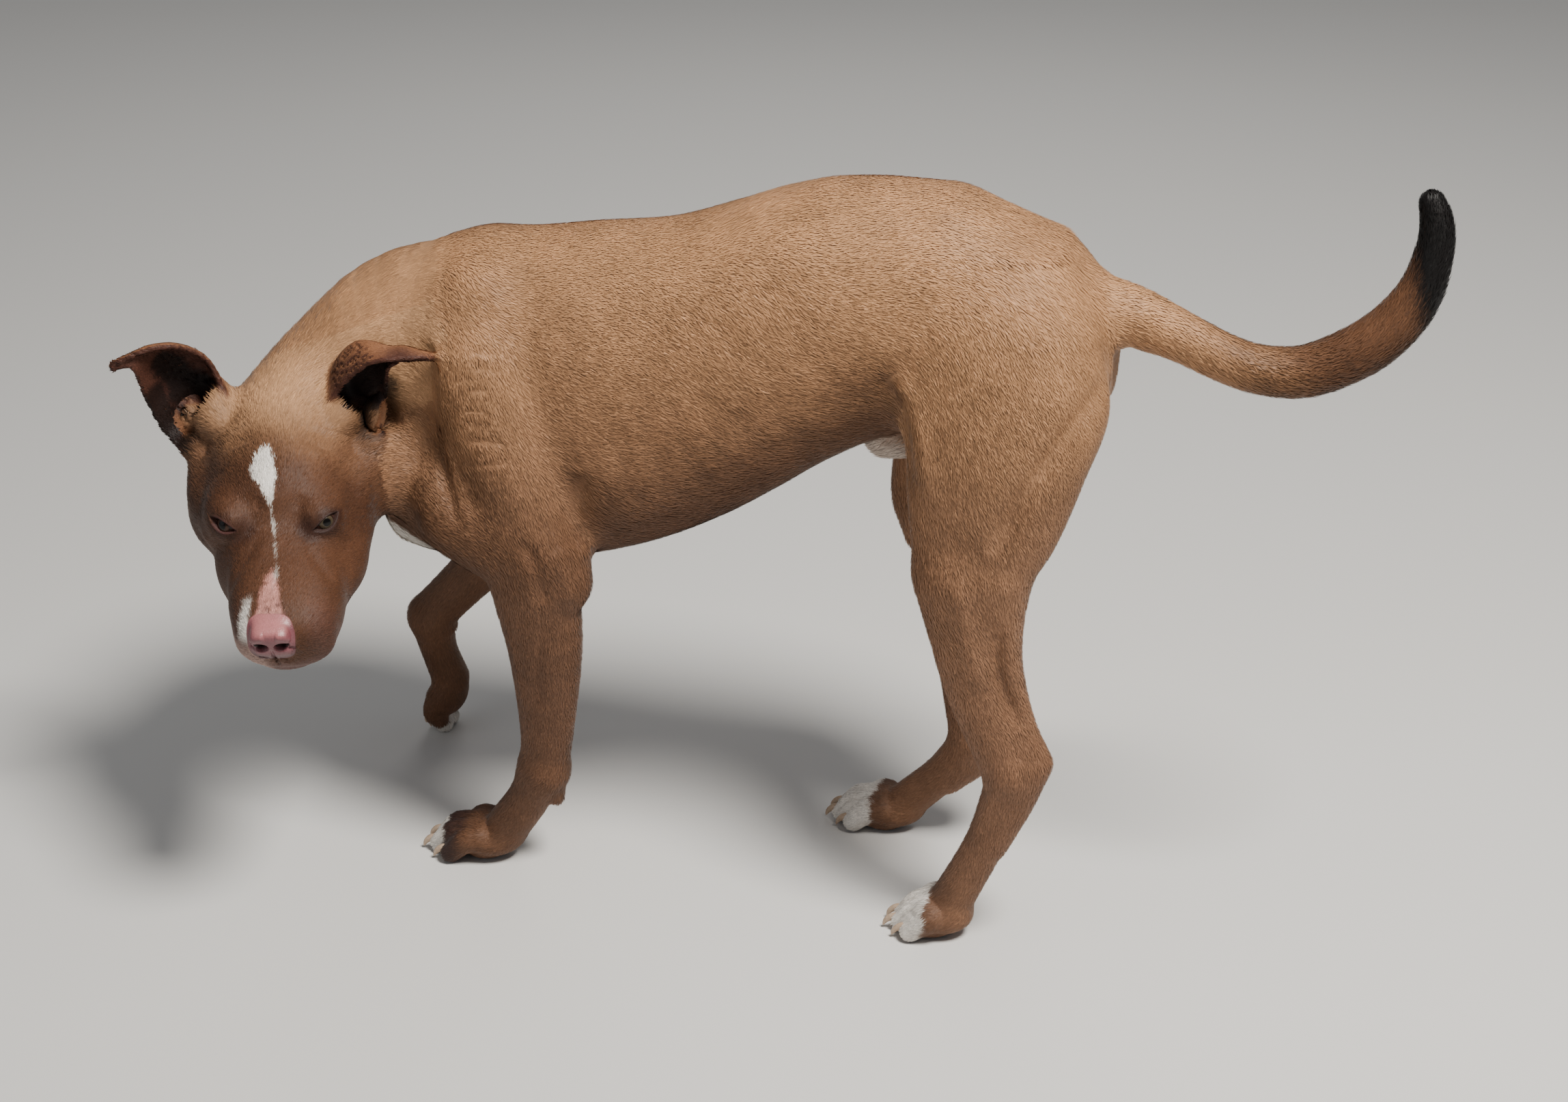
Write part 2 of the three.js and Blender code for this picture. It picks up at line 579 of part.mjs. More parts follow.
// A tapered solid round a row of points, closed at both ends.
function taper(path, radii, sides = 5) {
  const points = [];
  const overall = unit(sub(path[path.length - 1], path[0]));
  const reference = Math.abs(overall[2]) > 0.8 ? [1, 0, 0] : [0, 0, 1];
  path.forEach((p, i) => {
    const along = unit(sub(path[Math.min(i + 1, path.length - 1)], path[Math.max(i - 1, 0)]));
    const side = unit(cross(along, reference));
    const rise = cross(side, along);
    for (let s = 0; s < sides; s += 1) {
      const turn = (2 * Math.PI * s) / sides;
      const out = add(mul(side, Math.cos(turn)), mul(rise, Math.sin(turn)));
      points.push(add(p, mul(out, radii[i])));
    }
  });
  const triangles = [];
  for (let i = 0; i + 1 < path.length; i += 1) {
    for (let s = 0; s < sides; s += 1) {
      const [a, b] = [i * sides + s, i * sides + ((s + 1) % sides)];
      triangles.push(a, b, b + sides, a, b + sides, a + sides);
    }
  }
  const end = (path.length - 1) * sides;
  for (let s = 1; s + 1 < sides; s += 1) {
    triangles.push(0, s + 1, s, end, end + s, end + s + 1);
  }
  return solid(points, triangles);
}

// A curved sheet of even thickness over a grid of points.
function sheet(grid, thickness) {
  const rows = grid.length;
  const columns = grid[0].length;
  const points = [];
  for (const face of [0.5, -0.5]) {
    for (let i = 0; i < rows; i += 1) {
      for (let j = 0; j < columns; j += 1) {
        const du = sub(grid[Math.min(i + 1, rows - 1)][j], grid[Math.max(i - 1, 0)][j]);
        const dv = sub(grid[i][Math.min(j + 1, columns - 1)], grid[i][Math.max(j - 1, 0)]);
        points.push(add(grid[i][j], mul(unit(cross(du, dv)), face * thickness)));
      }
    }
  }
  const half = rows * columns;
  const id = (i, j) => i * columns + j;
  const triangles = [];
  for (let i = 0; i + 1 < rows; i += 1) {
    for (let j = 0; j + 1 < columns; j += 1) {
      const [a, b, c, d] = [id(i, j), id(i + 1, j), id(i + 1, j + 1), id(i, j + 1)];
      triangles.push(a, b, c, a, c, d);
      triangles.push(half + a, half + c, half + b, half + a, half + d, half + c);
    }
  }
  const rim = [];
  for (let i = 0; i + 1 < rows; i += 1) rim.push([id(i, 0), id(i + 1, 0)]);
  for (let j = 0; j + 1 < columns; j += 1) rim.push([id(rows - 1, j), id(rows - 1, j + 1)]);
  for (let i = rows - 1; i > 0; i -= 1) rim.push([id(i, columns - 1), id(i - 1, columns - 1)]);
  for (let j = columns - 1; j > 0; j -= 1) rim.push([id(0, j), id(0, j - 1)]);
  for (const [a, b] of rim) triangles.push(a, half + b, b, a, half + a, half + b);
  return solid(points, triangles);
}

function earGrid(rows, long = 8, wide = 4) {
  const last = rows.length - 1;
  const curves = [0, 1, 2].map((e) => monotone(rows.map((row, i) => [i / last, ...row[e]])));
  const grid = [];
  for (let i = 0; i <= long; i += 1) {
    const [front, back, rear] = curves.map((c) => c(i / long).slice(1));
    const bend = add(back, mul(sub(back, mul(add(front, rear), 0.5)), 0.9));
    const line = [];
    for (let j = 0; j <= wide; j += 1) {
      const t = j / wide;
      const p = add(add(mul(front, (1 - t) ** 2), mul(bend, 2 * t * (1 - t))), mul(rear, t * t));
      line.push(onHead(...p));
    }
    grid.push(line);
  }
  return grid;
}

// --- the parts ----------------------------------------------------------------------
const headItems = flesh.filter((i) => i.region === 'head' || i.region === 'neck');
const restItems = flesh.filter((i) => i.region !== 'head');
const headLo = [-125, -88, -78];
const headHi = [110, 88, 62];
const headMesh = (swell, cell) => meshBody(headItems, HEAD, headLo, headHi, cell, swell);
const behindSkull = place(HEAD, [NECK_CUT, 0, 0]);
const HEAD_CELL = 15;
const bareHead = largest(keepBeyond(headMesh(0, HEAD_CELL), behindSkull, HEAD.x));
const wideHead = keepBeyond(headMesh(2.2, HEAD_CELL), behindSkull, HEAD.x, -GAP - 0.4);

// Eyes: balls set into the head behind the openings of the lids.
const eyes = [1, -1].map((side) => {
  const sight = unit(add(add(mul(HEAD.x, 0.72), mul(HEAD.y, side * 0.5)), mul(HEAD.z, 0.45)));
  const opening = onHead(9.5, 2 + side * 39, 12);
  const centre = add(opening, mul(sight, -EYE_DEPTH));
  return { side, centre };
});
const nosePlace = onHead(96.5, 2, -15.5);
const noseRadii = [13, 17.5, 16.5].map((r) => r * HEAD_SCALE);
let head = bareHead;
for (const eye of eyes) {
  const socket = EYE_RADIUS + GAP;
  head = head.subtract(ball(eye.centre, [socket, socket, socket], HEAD));
}
head = head.subtract(ball(nosePlace, noseRadii.map((r) => r + GAP), HEAD));

// The neck is cut from the trunk on a slope from the withers to the breastbone.
const neckPoint = [-255, 0, 510];
const neckNormal = [-165, 0, 90];
const chestItems = flesh.filter((i) => ['trunk', 'neck', 'head', 'foreL', 'foreR'].includes(i.region));
let neck = meshBody(chestItems, WORLD, [-440, -150, 300], [-230, 110, 545], 25, 1);
neck = keepBeyond(neck, neckPoint, neckNormal);
neck = largest(keepBeyond(neck, add(behindSkull, mul(HEAD.x, -GAP)), mul(HEAD.x, -1)));

const legBoxes = {
  foreL: [[-262, -150, -30], [-104, -54, 302]],
  foreR: [[-400, 54, -30], [-165, 150, 302]],
  hindL: [[95, -150, -30], [300, -6, 370]],
  hindR: [[52, 6, -30], [300, 150, 370]],
};
let trunk = meshBody(restItems, WORLD, [-372, -128, 236], [292, 128, 606], 32, 1.5);
trunk = keepBeyond(trunk, neckPoint, mul(neckNormal, -1), GAP);
trunk = keepBeyond(trunk, [TAIL_CUT, 0, 0], [-1, 0, 0]);
for (const box of Object.values(legBoxes)) trunk = trunk.subtract(block(...box, GAP));
trunk = largest(trunk.subtract(wideHead));
let tail = meshBody(restItems, WORLD, [236, -60, 440], [484, 60, 640], 15, 0.8);
tail = largest(keepBeyond(tail, [TAIL_CUT + GAP, 0, 0], [1, 0, 0]));

// Legs: an upper piece down to the wrist or hock, and a foot below it.
function legItems(region) {
  const others = ['foreL', 'foreR', 'hindL', 'hindR', 'tail', 'head'].filter((r) => r !== region);
  return flesh.filter((i) => !others.includes(i.region));
}
function upperLeg(region, low, lo, hi, cell) {
  const body = meshBody(legItems(region), WORLD, lo, hi, cell, 1);
  const [a, b] = legBoxes[region];
  const kept = body.intersect(block([a[0], a[1], low], b));
  return largest(kept);
}
const uppers = {
  foreL: upperLeg('foreL', 96, [-280, -150, 82], [-92, -30, 326], 20),
  foreR: upperLeg('foreR', 118, [-412, 34, 104], [-148, 150, 326], 19),
  hindL: upperLeg('hindL', 140, [80, -134, 126], [262, -10, 392], 21),
  hindR: upperLeg('hindR', 84, [40, 10, 70], [240, 134, 392], 19.5),
};
function footPiece(region, high, lo, hi, cell) {
  let body = meshBody(legItems(region), WORLD, lo, hi, cell, 0.5);
  body = keepBeyond(body, [0, 0, high - GAP], [0, 0, -1]);
  return largest(keepBeyond(body, [0, 0, FLOOR], [0, 0, 1]));
}
const feet = {
  foreL: footPiece('foreL', 96, [-306, -114, -6], [-140, -20, 110], 13.2),
  foreR: footPiece('foreR', 118, [-392, 66, -6], [-306, 158, 132], 12),
  hindL: footPiece('hindL', 140, [82, -112, -6], [250, -28, 154], 13.2),
  hindR: footPiece('hindR', 84, [2, 24, -6], [190, 116, 98], 13.2),
};
const claws = clawRoots.map(({ name, path }) => {
  const radii = [CLAW_RADIUS, CLAW_RADIUS, CLAW_RADIUS * 0.72, 0.7];
  const region = name.split('_')[0];
  const deeper = add(path[0], mul(unit(sub(path[0], path[1])), 2 * GAP));
  const room = taper([deeper, ...path.slice(1)], radii.map((r) => r + GAP));
  feet[region] = feet[region].subtract(room);
  return { name, body: taper(path, radii) };
});

// Ears: curved sheets standing on the flesh between the skull and the neck.
const earSeat = meshBody(flesh, WORLD, [-480, -210, 330], [-230, -40, 480], 14, 3);
const ears = [EAR_LEFT, EAR_RIGHT].map((rows) => {
  const room = sheet(earGrid(rows), EAR_THICKNESS + 2 * GAP);
  trunk = trunk.subtract(room);
  neck = neck.subtract(room);
  return largest(sheet(earGrid(rows), EAR_THICKNESS).subtract(earSeat));
});
trunk = largest(trunk);
neck = largest(neck);

// --- materials and the scene graph ------------------------------------------------------
const material = (color, roughness) => new THREE.MeshStandardMaterial({ color, roughness, metalness: 0 });
const coat = material(0x8a5f43, 0.8);
const darkCoat = material(0x3a2620, 0.85);
const whiteToe = material(0xcdbfae, 0.8);
const leather = material(0xb07a72, 0.45);
const eyeGlass = material(0x8a6a38, 0.15);
const horn = material(0xc9b29c, 0.5);

// Draws the ends of every very short edge together, so that no cut leaves a sliver.
function withoutSlivers(points, triangles, shortest = 0.01) {
  const owner = points.map((_, i) => i);
  const find = (i) => {
    let at = i;
    while (owner[at] !== at) at = owner[at];
    return at;
  };
  for (let i = 0; i < triangles.length; i += 3) {
    for (const [a, b] of [[0, 1], [1, 2], [2, 0]]) {
      const [p, q] = [find(triangles[i + a]), find(triangles[i + b])];
      if (p !== q && size(sub(points[p], points[q])) < shortest) owner[Math.max(p, q)] = Math.min(p, q);
    }
  }
  const kept = [];
  for (let i = 0; i < triangles.length; i += 3) {
    const [a, b, c] = [0, 1, 2].map((n) => find(triangles[i + n]));
    if (a !== b && b !== c && c !== a) kept.push(a, b, c);
  }
  return kept;
}

const dog = new THREE.Group();
dog.position.set(-CENTRE_X, -CENTRE_Y, -FLOOR);
function node(name, body, look) {
  const made = body.getMesh();
  const points = [];
  for (let i = 0; i < made.vertProperties.length; i += made.numProp) {
    points.push([...made.vertProperties.slice(i, i + 3)]);
  }
  const geometry = new THREE.BufferGeometry();
  geometry.setAttribute('position', new THREE.Float32BufferAttribute(points.flat(), 3));
  geometry.setIndex(withoutSlivers(points, made.triVerts));
  geometry.computeVertexNormals();
  const mesh = new THREE.Mesh(geometry, look);
  mesh.name = name;
  dog.add(mesh);
}
const footNames = { foreL: 'fore_left', foreR: 'fore_right', hindL: 'hind_left', hindR: 'hind_right' };
node('head', largest(head), coat);
node('nose', ball(nosePlace, noseRadii, HEAD), leather);
node('ear_left', ears[0], darkCoat);
node('ear_right', ears[1], darkCoat);
for (const eye of eyes) {
  const name = eye.side > 0 ? 'eye_left' : 'eye_right';
  node(name, ball(eye.centre, [EYE_RADIUS, EYE_RADIUS, EYE_RADIUS], HEAD), eyeGlass);
}
node('neck', neck, coat);
node('trunk', trunk, coat);
node('tail', tail, coat);
for (const region of Object.keys(uppers)) node(`${footNames[region]}_leg`, uppers[region], coat);
for (const region of Object.keys(feet)) node(`${footNames[region]}_foot`, largest(feet[region]), whiteToe);
for (const { name, body } of claws) {
  const [region, number] = name.split('_');
  node(`claw_${footNames[region]}_${number}`, body, horn);
}

export default dog;
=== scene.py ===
"""A short-haired red-brown dog at life size, standing with its head lowered and turned.

The skin is one implicit body, meshed finely, drawn onto its own zero surface and shaped by
folds. The coat is short flat blades of hair laid along the lie of the coat.
Body sizes are millimetres over a working floor at FLOOR, as in the CAD; `to_scene` turns
them into metres in the shared frame."""
import contextlib
import math

import bmesh
import bpy
import numpy as np
from mathutils import Matrix, Vector
from mathutils.bvhtree import BVHTree


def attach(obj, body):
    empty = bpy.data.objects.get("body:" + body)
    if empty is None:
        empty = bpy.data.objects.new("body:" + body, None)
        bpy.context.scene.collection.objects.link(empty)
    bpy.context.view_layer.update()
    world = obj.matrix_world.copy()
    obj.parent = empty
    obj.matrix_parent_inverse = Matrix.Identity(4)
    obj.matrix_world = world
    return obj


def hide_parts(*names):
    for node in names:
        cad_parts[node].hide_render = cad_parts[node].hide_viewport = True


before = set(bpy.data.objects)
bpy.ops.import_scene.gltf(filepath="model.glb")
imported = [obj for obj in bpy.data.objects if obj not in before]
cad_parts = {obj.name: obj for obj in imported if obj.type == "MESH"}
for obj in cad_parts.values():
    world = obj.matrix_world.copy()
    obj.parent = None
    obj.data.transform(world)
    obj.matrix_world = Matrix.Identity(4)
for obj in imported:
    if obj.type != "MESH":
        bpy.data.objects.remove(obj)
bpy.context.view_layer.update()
rng = np.random.default_rng(7)

# --- working units --------------------------------------------------------------------
FLOOR = 9.0
CENTRE = np.array([6.0, -59.0, FLOOR])
HEAD_SCALE = 0.955
HEAD_ORIGIN = np.array([-337.6, -178.0, 339.4])
HEAD_TURN = (111.0, 27.0, 0.5)  # yaw to the dog's left, pitch down, roll, in degrees
SECTION_POWER = 2.2
COAT_DEPTH = 1.3  # the skin lies this far inside the outline
INSET = np.float32(0.8)  # the first mesh lies this far inside the outline
PAW_HEIGHT = 46.0
SKIN_CELL = 2.6
EAR_FLESH = 4.2  # thickness of the skin's ear
EAR_OUTLINE = 5.2
EYE_RADIUS = 10.5
EYE_DEPTH = 9.0


def to_scene(points):
    return (np.asarray(points, float) - CENTRE) * 0.001


# --- camera, first -----------------------------------------------------------------------
VIEW_AZIMUTH, VIEW_ELEVATION = math.radians(17.4), math.radians(25.0)
VIEW_DISTANCE = 1.9
SENSOR = 36.0
target = Vector(to_scene([0.0, 0.0, 285.0]))
back = Vector((
    math.sin(VIEW_AZIMUTH) * math.cos(VIEW_ELEVATION),
    -math.cos(VIEW_AZIMUTH) * math.cos(VIEW_ELEVATION),
    math.sin(VIEW_ELEVATION),
))
camera = bpy.data.objects.new("camera", bpy.data.cameras.new("camera"))
bpy.context.collection.objects.link(camera)
camera.location = target + back * VIEW_DISTANCE
camera.rotation_euler = back.to_track_quat("Z", "Y").to_euler()
camera.data.sensor_width = SENSOR
camera.data.lens = SENSOR * 1.568
bpy.context.scene.camera = camera


# --- vectors and interpolation ------------------------------------------------------------
def unit(v):
    v = np.asarray(v, float)
    return v / np.linalg.norm(v)


def lengths(rows):
    return np.linalg.norm(rows, axis=1)


def rows_unit(v):
    return v / np.maximum(lengths(v), 1e-9)[:, None]


def smooth_step(x, lo, hi):
    t = np.clip((x - lo) / (hi - lo), 0, 1)
    return t * t * (3 - 2 * t)


def blend_min(a, b, k):
    h = np.clip(0.5 + 0.5 * (b - a) / k, 0, 1)
    return b * (1 - h) + a * h - k * h * (1 - h)


def monotone(x, y, at):
    """Monotone cubic through (x, y)."""
    x, y = np.asarray(x, float), np.asarray(y, float)
    h = np.diff(x)
    m = np.diff(y) / h
    d = np.zeros(len(x))
    for i in range(1, len(x) - 1):
        if m[i - 1] * m[i] > 0:
            w1, w2 = 2 * h[i] + h[i - 1], h[i] + 2 * h[i - 1]
            d[i] = (w1 + w2) / (w1 / m[i - 1] + w2 / m[i])
    d[0], d[-1] = m[0], m[-1]
    i = np.clip(np.searchsorted(x, at) - 1, 0, len(x) - 2)
    t = (at - x[i]) / h[i]
    a = (2 * t**3 - 3 * t**2 + 1) * y[i] + (t**3 - 2 * t**2 + t) * h[i] * d[i]
    return a + (3 * t**2 - 2 * t**3) * y[i + 1] + (t**3 - t**2) * h[i] * d[i + 1]


def smooth_curve(points, at):
    """Catmull-Rom through points at the positions `at`."""
    p = np.asarray(points, float)
    n = len(p)
    i = np.clip(np.floor(at).astype(int), 0, n - 2)
    t = (at - i)[:, None]
    b, c = p[i], p[i + 1]
    a = np.where((i == 0)[:, None], 2 * b - c, p[np.maximum(i - 1, 0)])
    d = np.where((i == n - 2)[:, None], 2 * c - b, p[np.minimum(i + 2, n - 1)])
    return 0.5 * (
        2 * b + (c - a) * t + (2 * a - 5 * b + 4 * c - d) * t**2 + (3 * b - a - 3 * c + d) * t**3
    )


def boxed(points, lo, hi):
    return ((points > lo) & (points < hi)).all(1)


def within(points, lo, hi, reach=0.0):
    """The numbers of the points inside a box grown by `reach`."""
    return np.nonzero(boxed(points, lo - reach, hi + reach))[0]


# --- implicit shapes --------------------------------------------------------------------
# Each has `lo` and `hi`, a distance `at`, and `lie`, the way the hair runs over it.
class Shape:
    def lie(self, points):
        if callable(self.hair):
            return self.hair(points)
        return np.broadcast_to(np.asarray(self.hair, float), points.shape)


class Ellipsoid(Shape):
    """A ball or, with a power above 2, a rounded box."""

    def __init__(self, centre, radii, axes=None, power=2):
        self.centre = np.asarray(centre, float)
        self.radii = np.asarray(radii, float) * np.ones(3)
        self.axes = axes
        self.power = power
        self.lo = self.centre - self.radii.max()
        self.hi = self.centre + self.radii.max()

    def at(self, points):
        q = points - self.centre
        if self.axes is not None:
            q = q @ self.axes
        w = np.abs(q / self.radii)
        k0 = (w**self.power).sum(1) ** (1 / self.power) + 1e-9
        slope = (w / k0[:, None]) ** (self.power - 1) / self.radii
        k1 = np.sqrt((slope**2).sum(1)) + 1e-9
        return np.where(k0 < 1e-3, -self.radii.min(), (k0 - 1) / k1)


class Limb(Shape):
    """A round body along a smooth curve, its thickness along `across` scaled by `flat`."""

    def __init__(self, points, radii, flat=1.0, across=(0, 1, 0), steps=4):
        at = np.linspace(0, len(points) - 1, (len(points) - 1) * steps + 1)
        self.points = smooth_curve(points, at)
        self.radii = smooth_curve(np.asarray(radii, float)[:, None], at)[:, 0]
        self.flat = flat
        self.across = unit(across)
        reach = self.radii.max() * max(1, flat, 1 / flat)
        self.lo = self.points.min(0) - reach
        self.hi = self.points.max(0) + reach

    def at(self, points):
        best = np.full(len(points), 1e9)
        for a, b, ra, rb in zip(self.points, self.points[1:], self.radii, self.radii[1:]):
            length = np.linalg.norm(b - a)
            axis = (b - a) / length
            q = points - a
            if self.flat != 1:
                side = unit(self.across - axis * (self.across @ axis))
                q = q + np.outer((q @ side) * (1 / self.flat - 1), side)
            t = np.clip(q @ axis / length, 0, 1)
            q = q - np.outer(t * length, axis)
            best = np.minimum(best, np.sqrt((q * q).sum(1)) - (ra + (rb - ra) * t))
        return best

    def run(self, points, spread=300.0):
        """The way the limb runs, near each point."""
        middles = 0.5 * (self.points[1:] + self.points[:-1])
        along = rows_unit(self.points[1:] - self.points[:-1])
        gap = ((points[:, None] - middles[None]) ** 2).sum(2)
        weight = np.exp(-(gap - gap.min(1)[:, None]) / spread)
        return rows_unit(weight @ along)

    def lie(self, points):
        return self.run(points) if self.hair is None else super().lie(points)


class Loft(Shape):
    """Superellipse sections. Rows: position, top, bottom, half width, widest line, shift."""

    def __init__(self, rows, origin=(0, 0, 0), axes=None, power=SECTION_POWER):
        rows = np.array([list(r) + [0.0] * (6 - len(r)) for r in rows], float)
        self.origin = np.asarray(origin, float)
        self.axes = np.eye(3) if axes is None else axes
        self.power = power
        self.x = np.linspace(rows[0, 0], rows[-1, 0], 400)
        self.table = [monotone(rows[:, 0], rows[:, i], self.x) for i in range(1, 6)]
        corners = np.array([
            [r[0], r[5] + side * r[3], z] for r in rows for side in (-1, 1) for z in (r[1], r[2])
        ])
        corners = corners @ self.axes.T + self.origin
        self.lo, self.hi = corners.min(0), corners.max(0)

    def at(self, points):
        q = (points - self.origin) @ self.axes
        x = np.clip(q[:, 0], self.x[0], self.x[-1])
        top, bottom, wide, widest, shift = (np.interp(x, self.x, c) for c in self.table)
        z = q[:, 2] - widest
        tall = np.maximum(np.where(z > 0, top - widest, widest - bottom), 1.0)
        wide = np.maximum(wide, 1.0)
        y = np.abs(q[:, 1] - shift)
        p = self.power
        ratio = ((y / wide) ** p + (np.abs(z) / tall) ** p) ** (1 / p) + 1e-6
        r = np.sqrt(y * y + z * z)
        inner = -np.minimum(wide, tall)
        d = np.where(r < 1e-3, inner, np.maximum(r * (1 - 1 / ratio), inner))
        beyond = q[:, 0] - x
        to_end = np.maximum(self.x[0] - x, x - self.x[-1])
        return np.where(beyond == 0, np.maximum(d, to_end), np.hypot(np.maximum(d, 0), beyond))


class Sheet(Shape):
    """A thin curved sheet over a grid of points."""

    def __init__(self, grid, thickness):
        rows, columns, _ = grid.shape
        self.flat_grid = grid.reshape(-1, 3)
        index = np.arange(rows * columns).reshape(rows, columns)
        quads = np.stack(
            [index[:-1, :-1], index[1:, :-1], index[1:, 1:], index[:-1, 1:]], -1
        ).reshape(-1, 4)
        self.tree = BVHTree.FromPolygons(self.flat_grid.tolist(), quads.tolist())
        self.half = thickness / 2
        self.lo = self.flat_grid.min(0) - thickness
        self.hi = self.flat_grid.max(0) + thickness

    def at(self, points):
        find = self.tree.find_nearest
        return np.array([find(p)[3] for p in points.tolist()]) - self.half


class Body:
    """Shapes joined in order, each with its own softness."""

    def __init__(self):
        self.shapes = []

    def put(self, region, blend, shape, hair=None, cut=False):
        shape.region, shape.blend, shape.hair, shape.cut = region, blend, hair, cut
        self.shapes.append(shape)
        return shape

    def at(self, points, band=12.0):
        d = np.full(len(points), 1e3)
        for s in self.shapes:
            at = within(points, s.lo, s.hi, band + s.blend)
            if len(at) and s.cut:
                d[at] = -blend_min(-d[at], s.at(points[at]), s.blend)
            elif len(at):
                d[at] = blend_min(d[at], s.at(points[at]), s.blend)
        return d

    def lie(self, points, spread=9.0):
        """The lie of the hair: that of the nearest shapes, mixed."""
        total = np.zeros_like(points)
        for s in self.shapes:
            if s.cut:
                continue
            at = within(points, s.lo, s.hi, 40)
            if len(at):
                weight = np.exp(-np.abs(s.at(points[at])) / spread)
                total[at] += s.lie(points[at]) * weight[:, None]
        return rows_unit(total)


# --- the head's frame --------------------------------------------------------------------
def head_axes():
    yaw, pitch, roll = np.radians(HEAD_TURN)
    forward = np.array([
        -math.cos(yaw) * math.cos(pitch), -math.sin(yaw) * math.cos(pitch), -math.sin(pitch)
    ])
    level = np.array([math.sin(yaw), -math.cos(yaw), 0.0])
    left = level * math.cos(roll) + np.cross(forward, level) * math.sin(roll)
    return np.stack([forward, left, np.cross(forward, left)], 1)


HEAD = head_axes()


def on_head(points):
    return HEAD_SCALE * np.asarray(points, float) @ HEAD.T + HEAD_ORIGIN


def head_local(points):
    return (points - HEAD_ORIGIN) @ HEAD / HEAD_SCALE


def head_hair(points):
    """Back from the nose over the brow, fanning to the sides and down the cheeks."""
    h = head_local(points)
    side = np.clip(h[:, 1] / 45, -1.2, 1.2)
    muzzle = smooth_step(h[:, 0], -5, 40)
    away = np.stack([
        -np.ones(len(h)),
        side * (0.55 - 0.25 * muzzle),
        -np.abs(side) * (0.5 * muzzle + 0.25) + 0.15,
    ], 1)
    return rows_unit(away) @ HEAD.T


# --- body data ---------------------------------------------------------------------------
TRUNK = [
    (-335, 395, 284, 26, 345), (-310, 452, 256, 62, 352), (-270, 509, 252, 80, 365),
    (-240, 522, 252, 86, 370), (-200, 526, 256, 88, 372), (-150, 534, 270, 92, 380),
    (-95, 542, 290, 95, 395), (-40, 560, 318, 92, 425), (0, 575, 344, 87, 450),
    (40, 585, 372, 82, 475), (80, 588, 394, 78, 490), (120, 588, 408, 78, 492),
    (160, 576, 415, 78, 485), (200, 557, 412, 74, 475), (232, 533, 418, 53, 468),
    (248, 507, 448, 24, 476),
]
MUZZLE = [
    (-40, 12, -64, 54, -22, 0), (0, 12, -64, 48, -26, 4), (30, 8, -65, 46, -28, 7),
    (60, 6, -64, 44, -28, 9), (80, 3, -61, 40, -28, 9), (91, -1, -58, 37, -30, 9),
    (98, -6, -53, 31, -30, 9), (103, -14, -45, 20, -30, 8), (105, -22, -38, 8, -30, 7),
]
THIGHS = {
    "hindL": [
        (548, 48, 5, 140, 208), (525, 68, 6, 124, 224), (500, 82, 8, 112, 242),
        (450, 95, 14, 107, 255), (400, 100, 28, 112, 242), (350, 98, 44, 118, 225),
        (315, 93, 52, 127, 207), (282, 84, 58, 140, 194),
    ],
    "hindR": [
        (548, 48, 5, 136, 202), (525, 68, 6, 120, 214), (500, 82, 8, 106, 227),
        (450, 93, 14, 90, 231), (400, 97, 28, 78, 214), (350, 95, 42, 68, 198),
        (310, 90, 50, 69, 167), (280, 82, 56, 82, 146),
    ],
}
TAIL = [
    (236, 0, 508, 25), (262, 0, 503, 22.5), (292, 0, 493, 19), (325, 0, 480, 18),
    (352, 0, 474, 18.5), (383, 0, 477, 19.5), (417, 0, 496, 19.8), (439, 0, 518, 18.5),
    (453, 0, 543, 16.5), (459, 0, 573, 13.8), (458, 0, 592, 12.2), (454, 0, 604, 10),
]
EARS = {
    1: [
        ((-90, 38, 30), (-122, 46, 36), (-76, 72, 0)),
        ((-91, 52, 56), (-121, 54, 58), (-84, 80, 18)),
        ((-88, 67, 75), (-119, 66, 74), (-92, 84, 38)),
        ((-85, 80, 88), (-112, 79, 81), (-94, 87, 58)),
        ((-83, 90, 92), (-104, 92, 84), (-90, 91, 76)),
        ((-84, 104, 92), (-99, 106, 88), (-90, 104, 82)),
        ((-88, 122, 88), (-92, 124, 86), (-90, 121, 83)),
    ],
    -1: [
        ((-94, -38, 28), (-122, -53, 28), (-74, -76, 0)),
        ((-106, -44, 50), (-124, -64, 43), (-84, -90, 16)),
        ((-112, -52, 68), (-121, -74, 60), (-91, -97, 36)),
        ((-109, -63, 82), (-114, -82, 77), (-92, -100, 58)),
        ((-103, -75, 92), (-106, -88, 88), (-89, -101, 80)),
        ((-94, -91, 98), (-96, -97, 95), (-87, -106, 88)),
        ((-86, -113, 94), (-87, -116, 92), (-85, -117, 88)),
    ],
}


EAR_LONG, EAR_WIDE = 32, 18  # cells along and across the grid of an ear


def ear_lines(side, at):
    """Front edge, middle and rear edge of an ear at places along it, 0 to 1."""
    rows = np.array(EARS[side], float)
    u = np.linspace(0, 1, len(rows))
    return [np.stack([monotone(u, rows[:, e, a], at) for a in range(3)], 1) for e in range(3)]


def ear_grid(side):
    front, middle, rear = ear_lines(side, np.linspace(0, 1, EAR_LONG + 1))
    bend = middle + (middle - 0.5 * front - 0.5 * rear) * 0.9
    t = np.linspace(0, 1, EAR_WIDE + 1)[None, :, None]
    grid = (1 - t) ** 2 * front[:, None] + 2 * t * (1 - t) * bend[:, None] + t**2 * rear[:, None]
    return on_head(grid)


def ear_hollows():
    """Balls of air between the edges of each ear, from its root to half its length."""
    balls = []
    for side in (1, -1):
        for front, middle, rear in zip(*ear_lines(side, np.array([0.17, 0.27, 0.37, 0.47]))):
            mouth = 0.5 * (front + rear)
            deep = np.linalg.norm(middle - mouth)
            radius = min(0.32 * np.linalg.norm(front - rear), 0.52 * deep)
            balls.append(Ellipsoid(on_head(mouth + (middle - mouth) * 0.30), radius * HEAD_SCALE))
    return balls


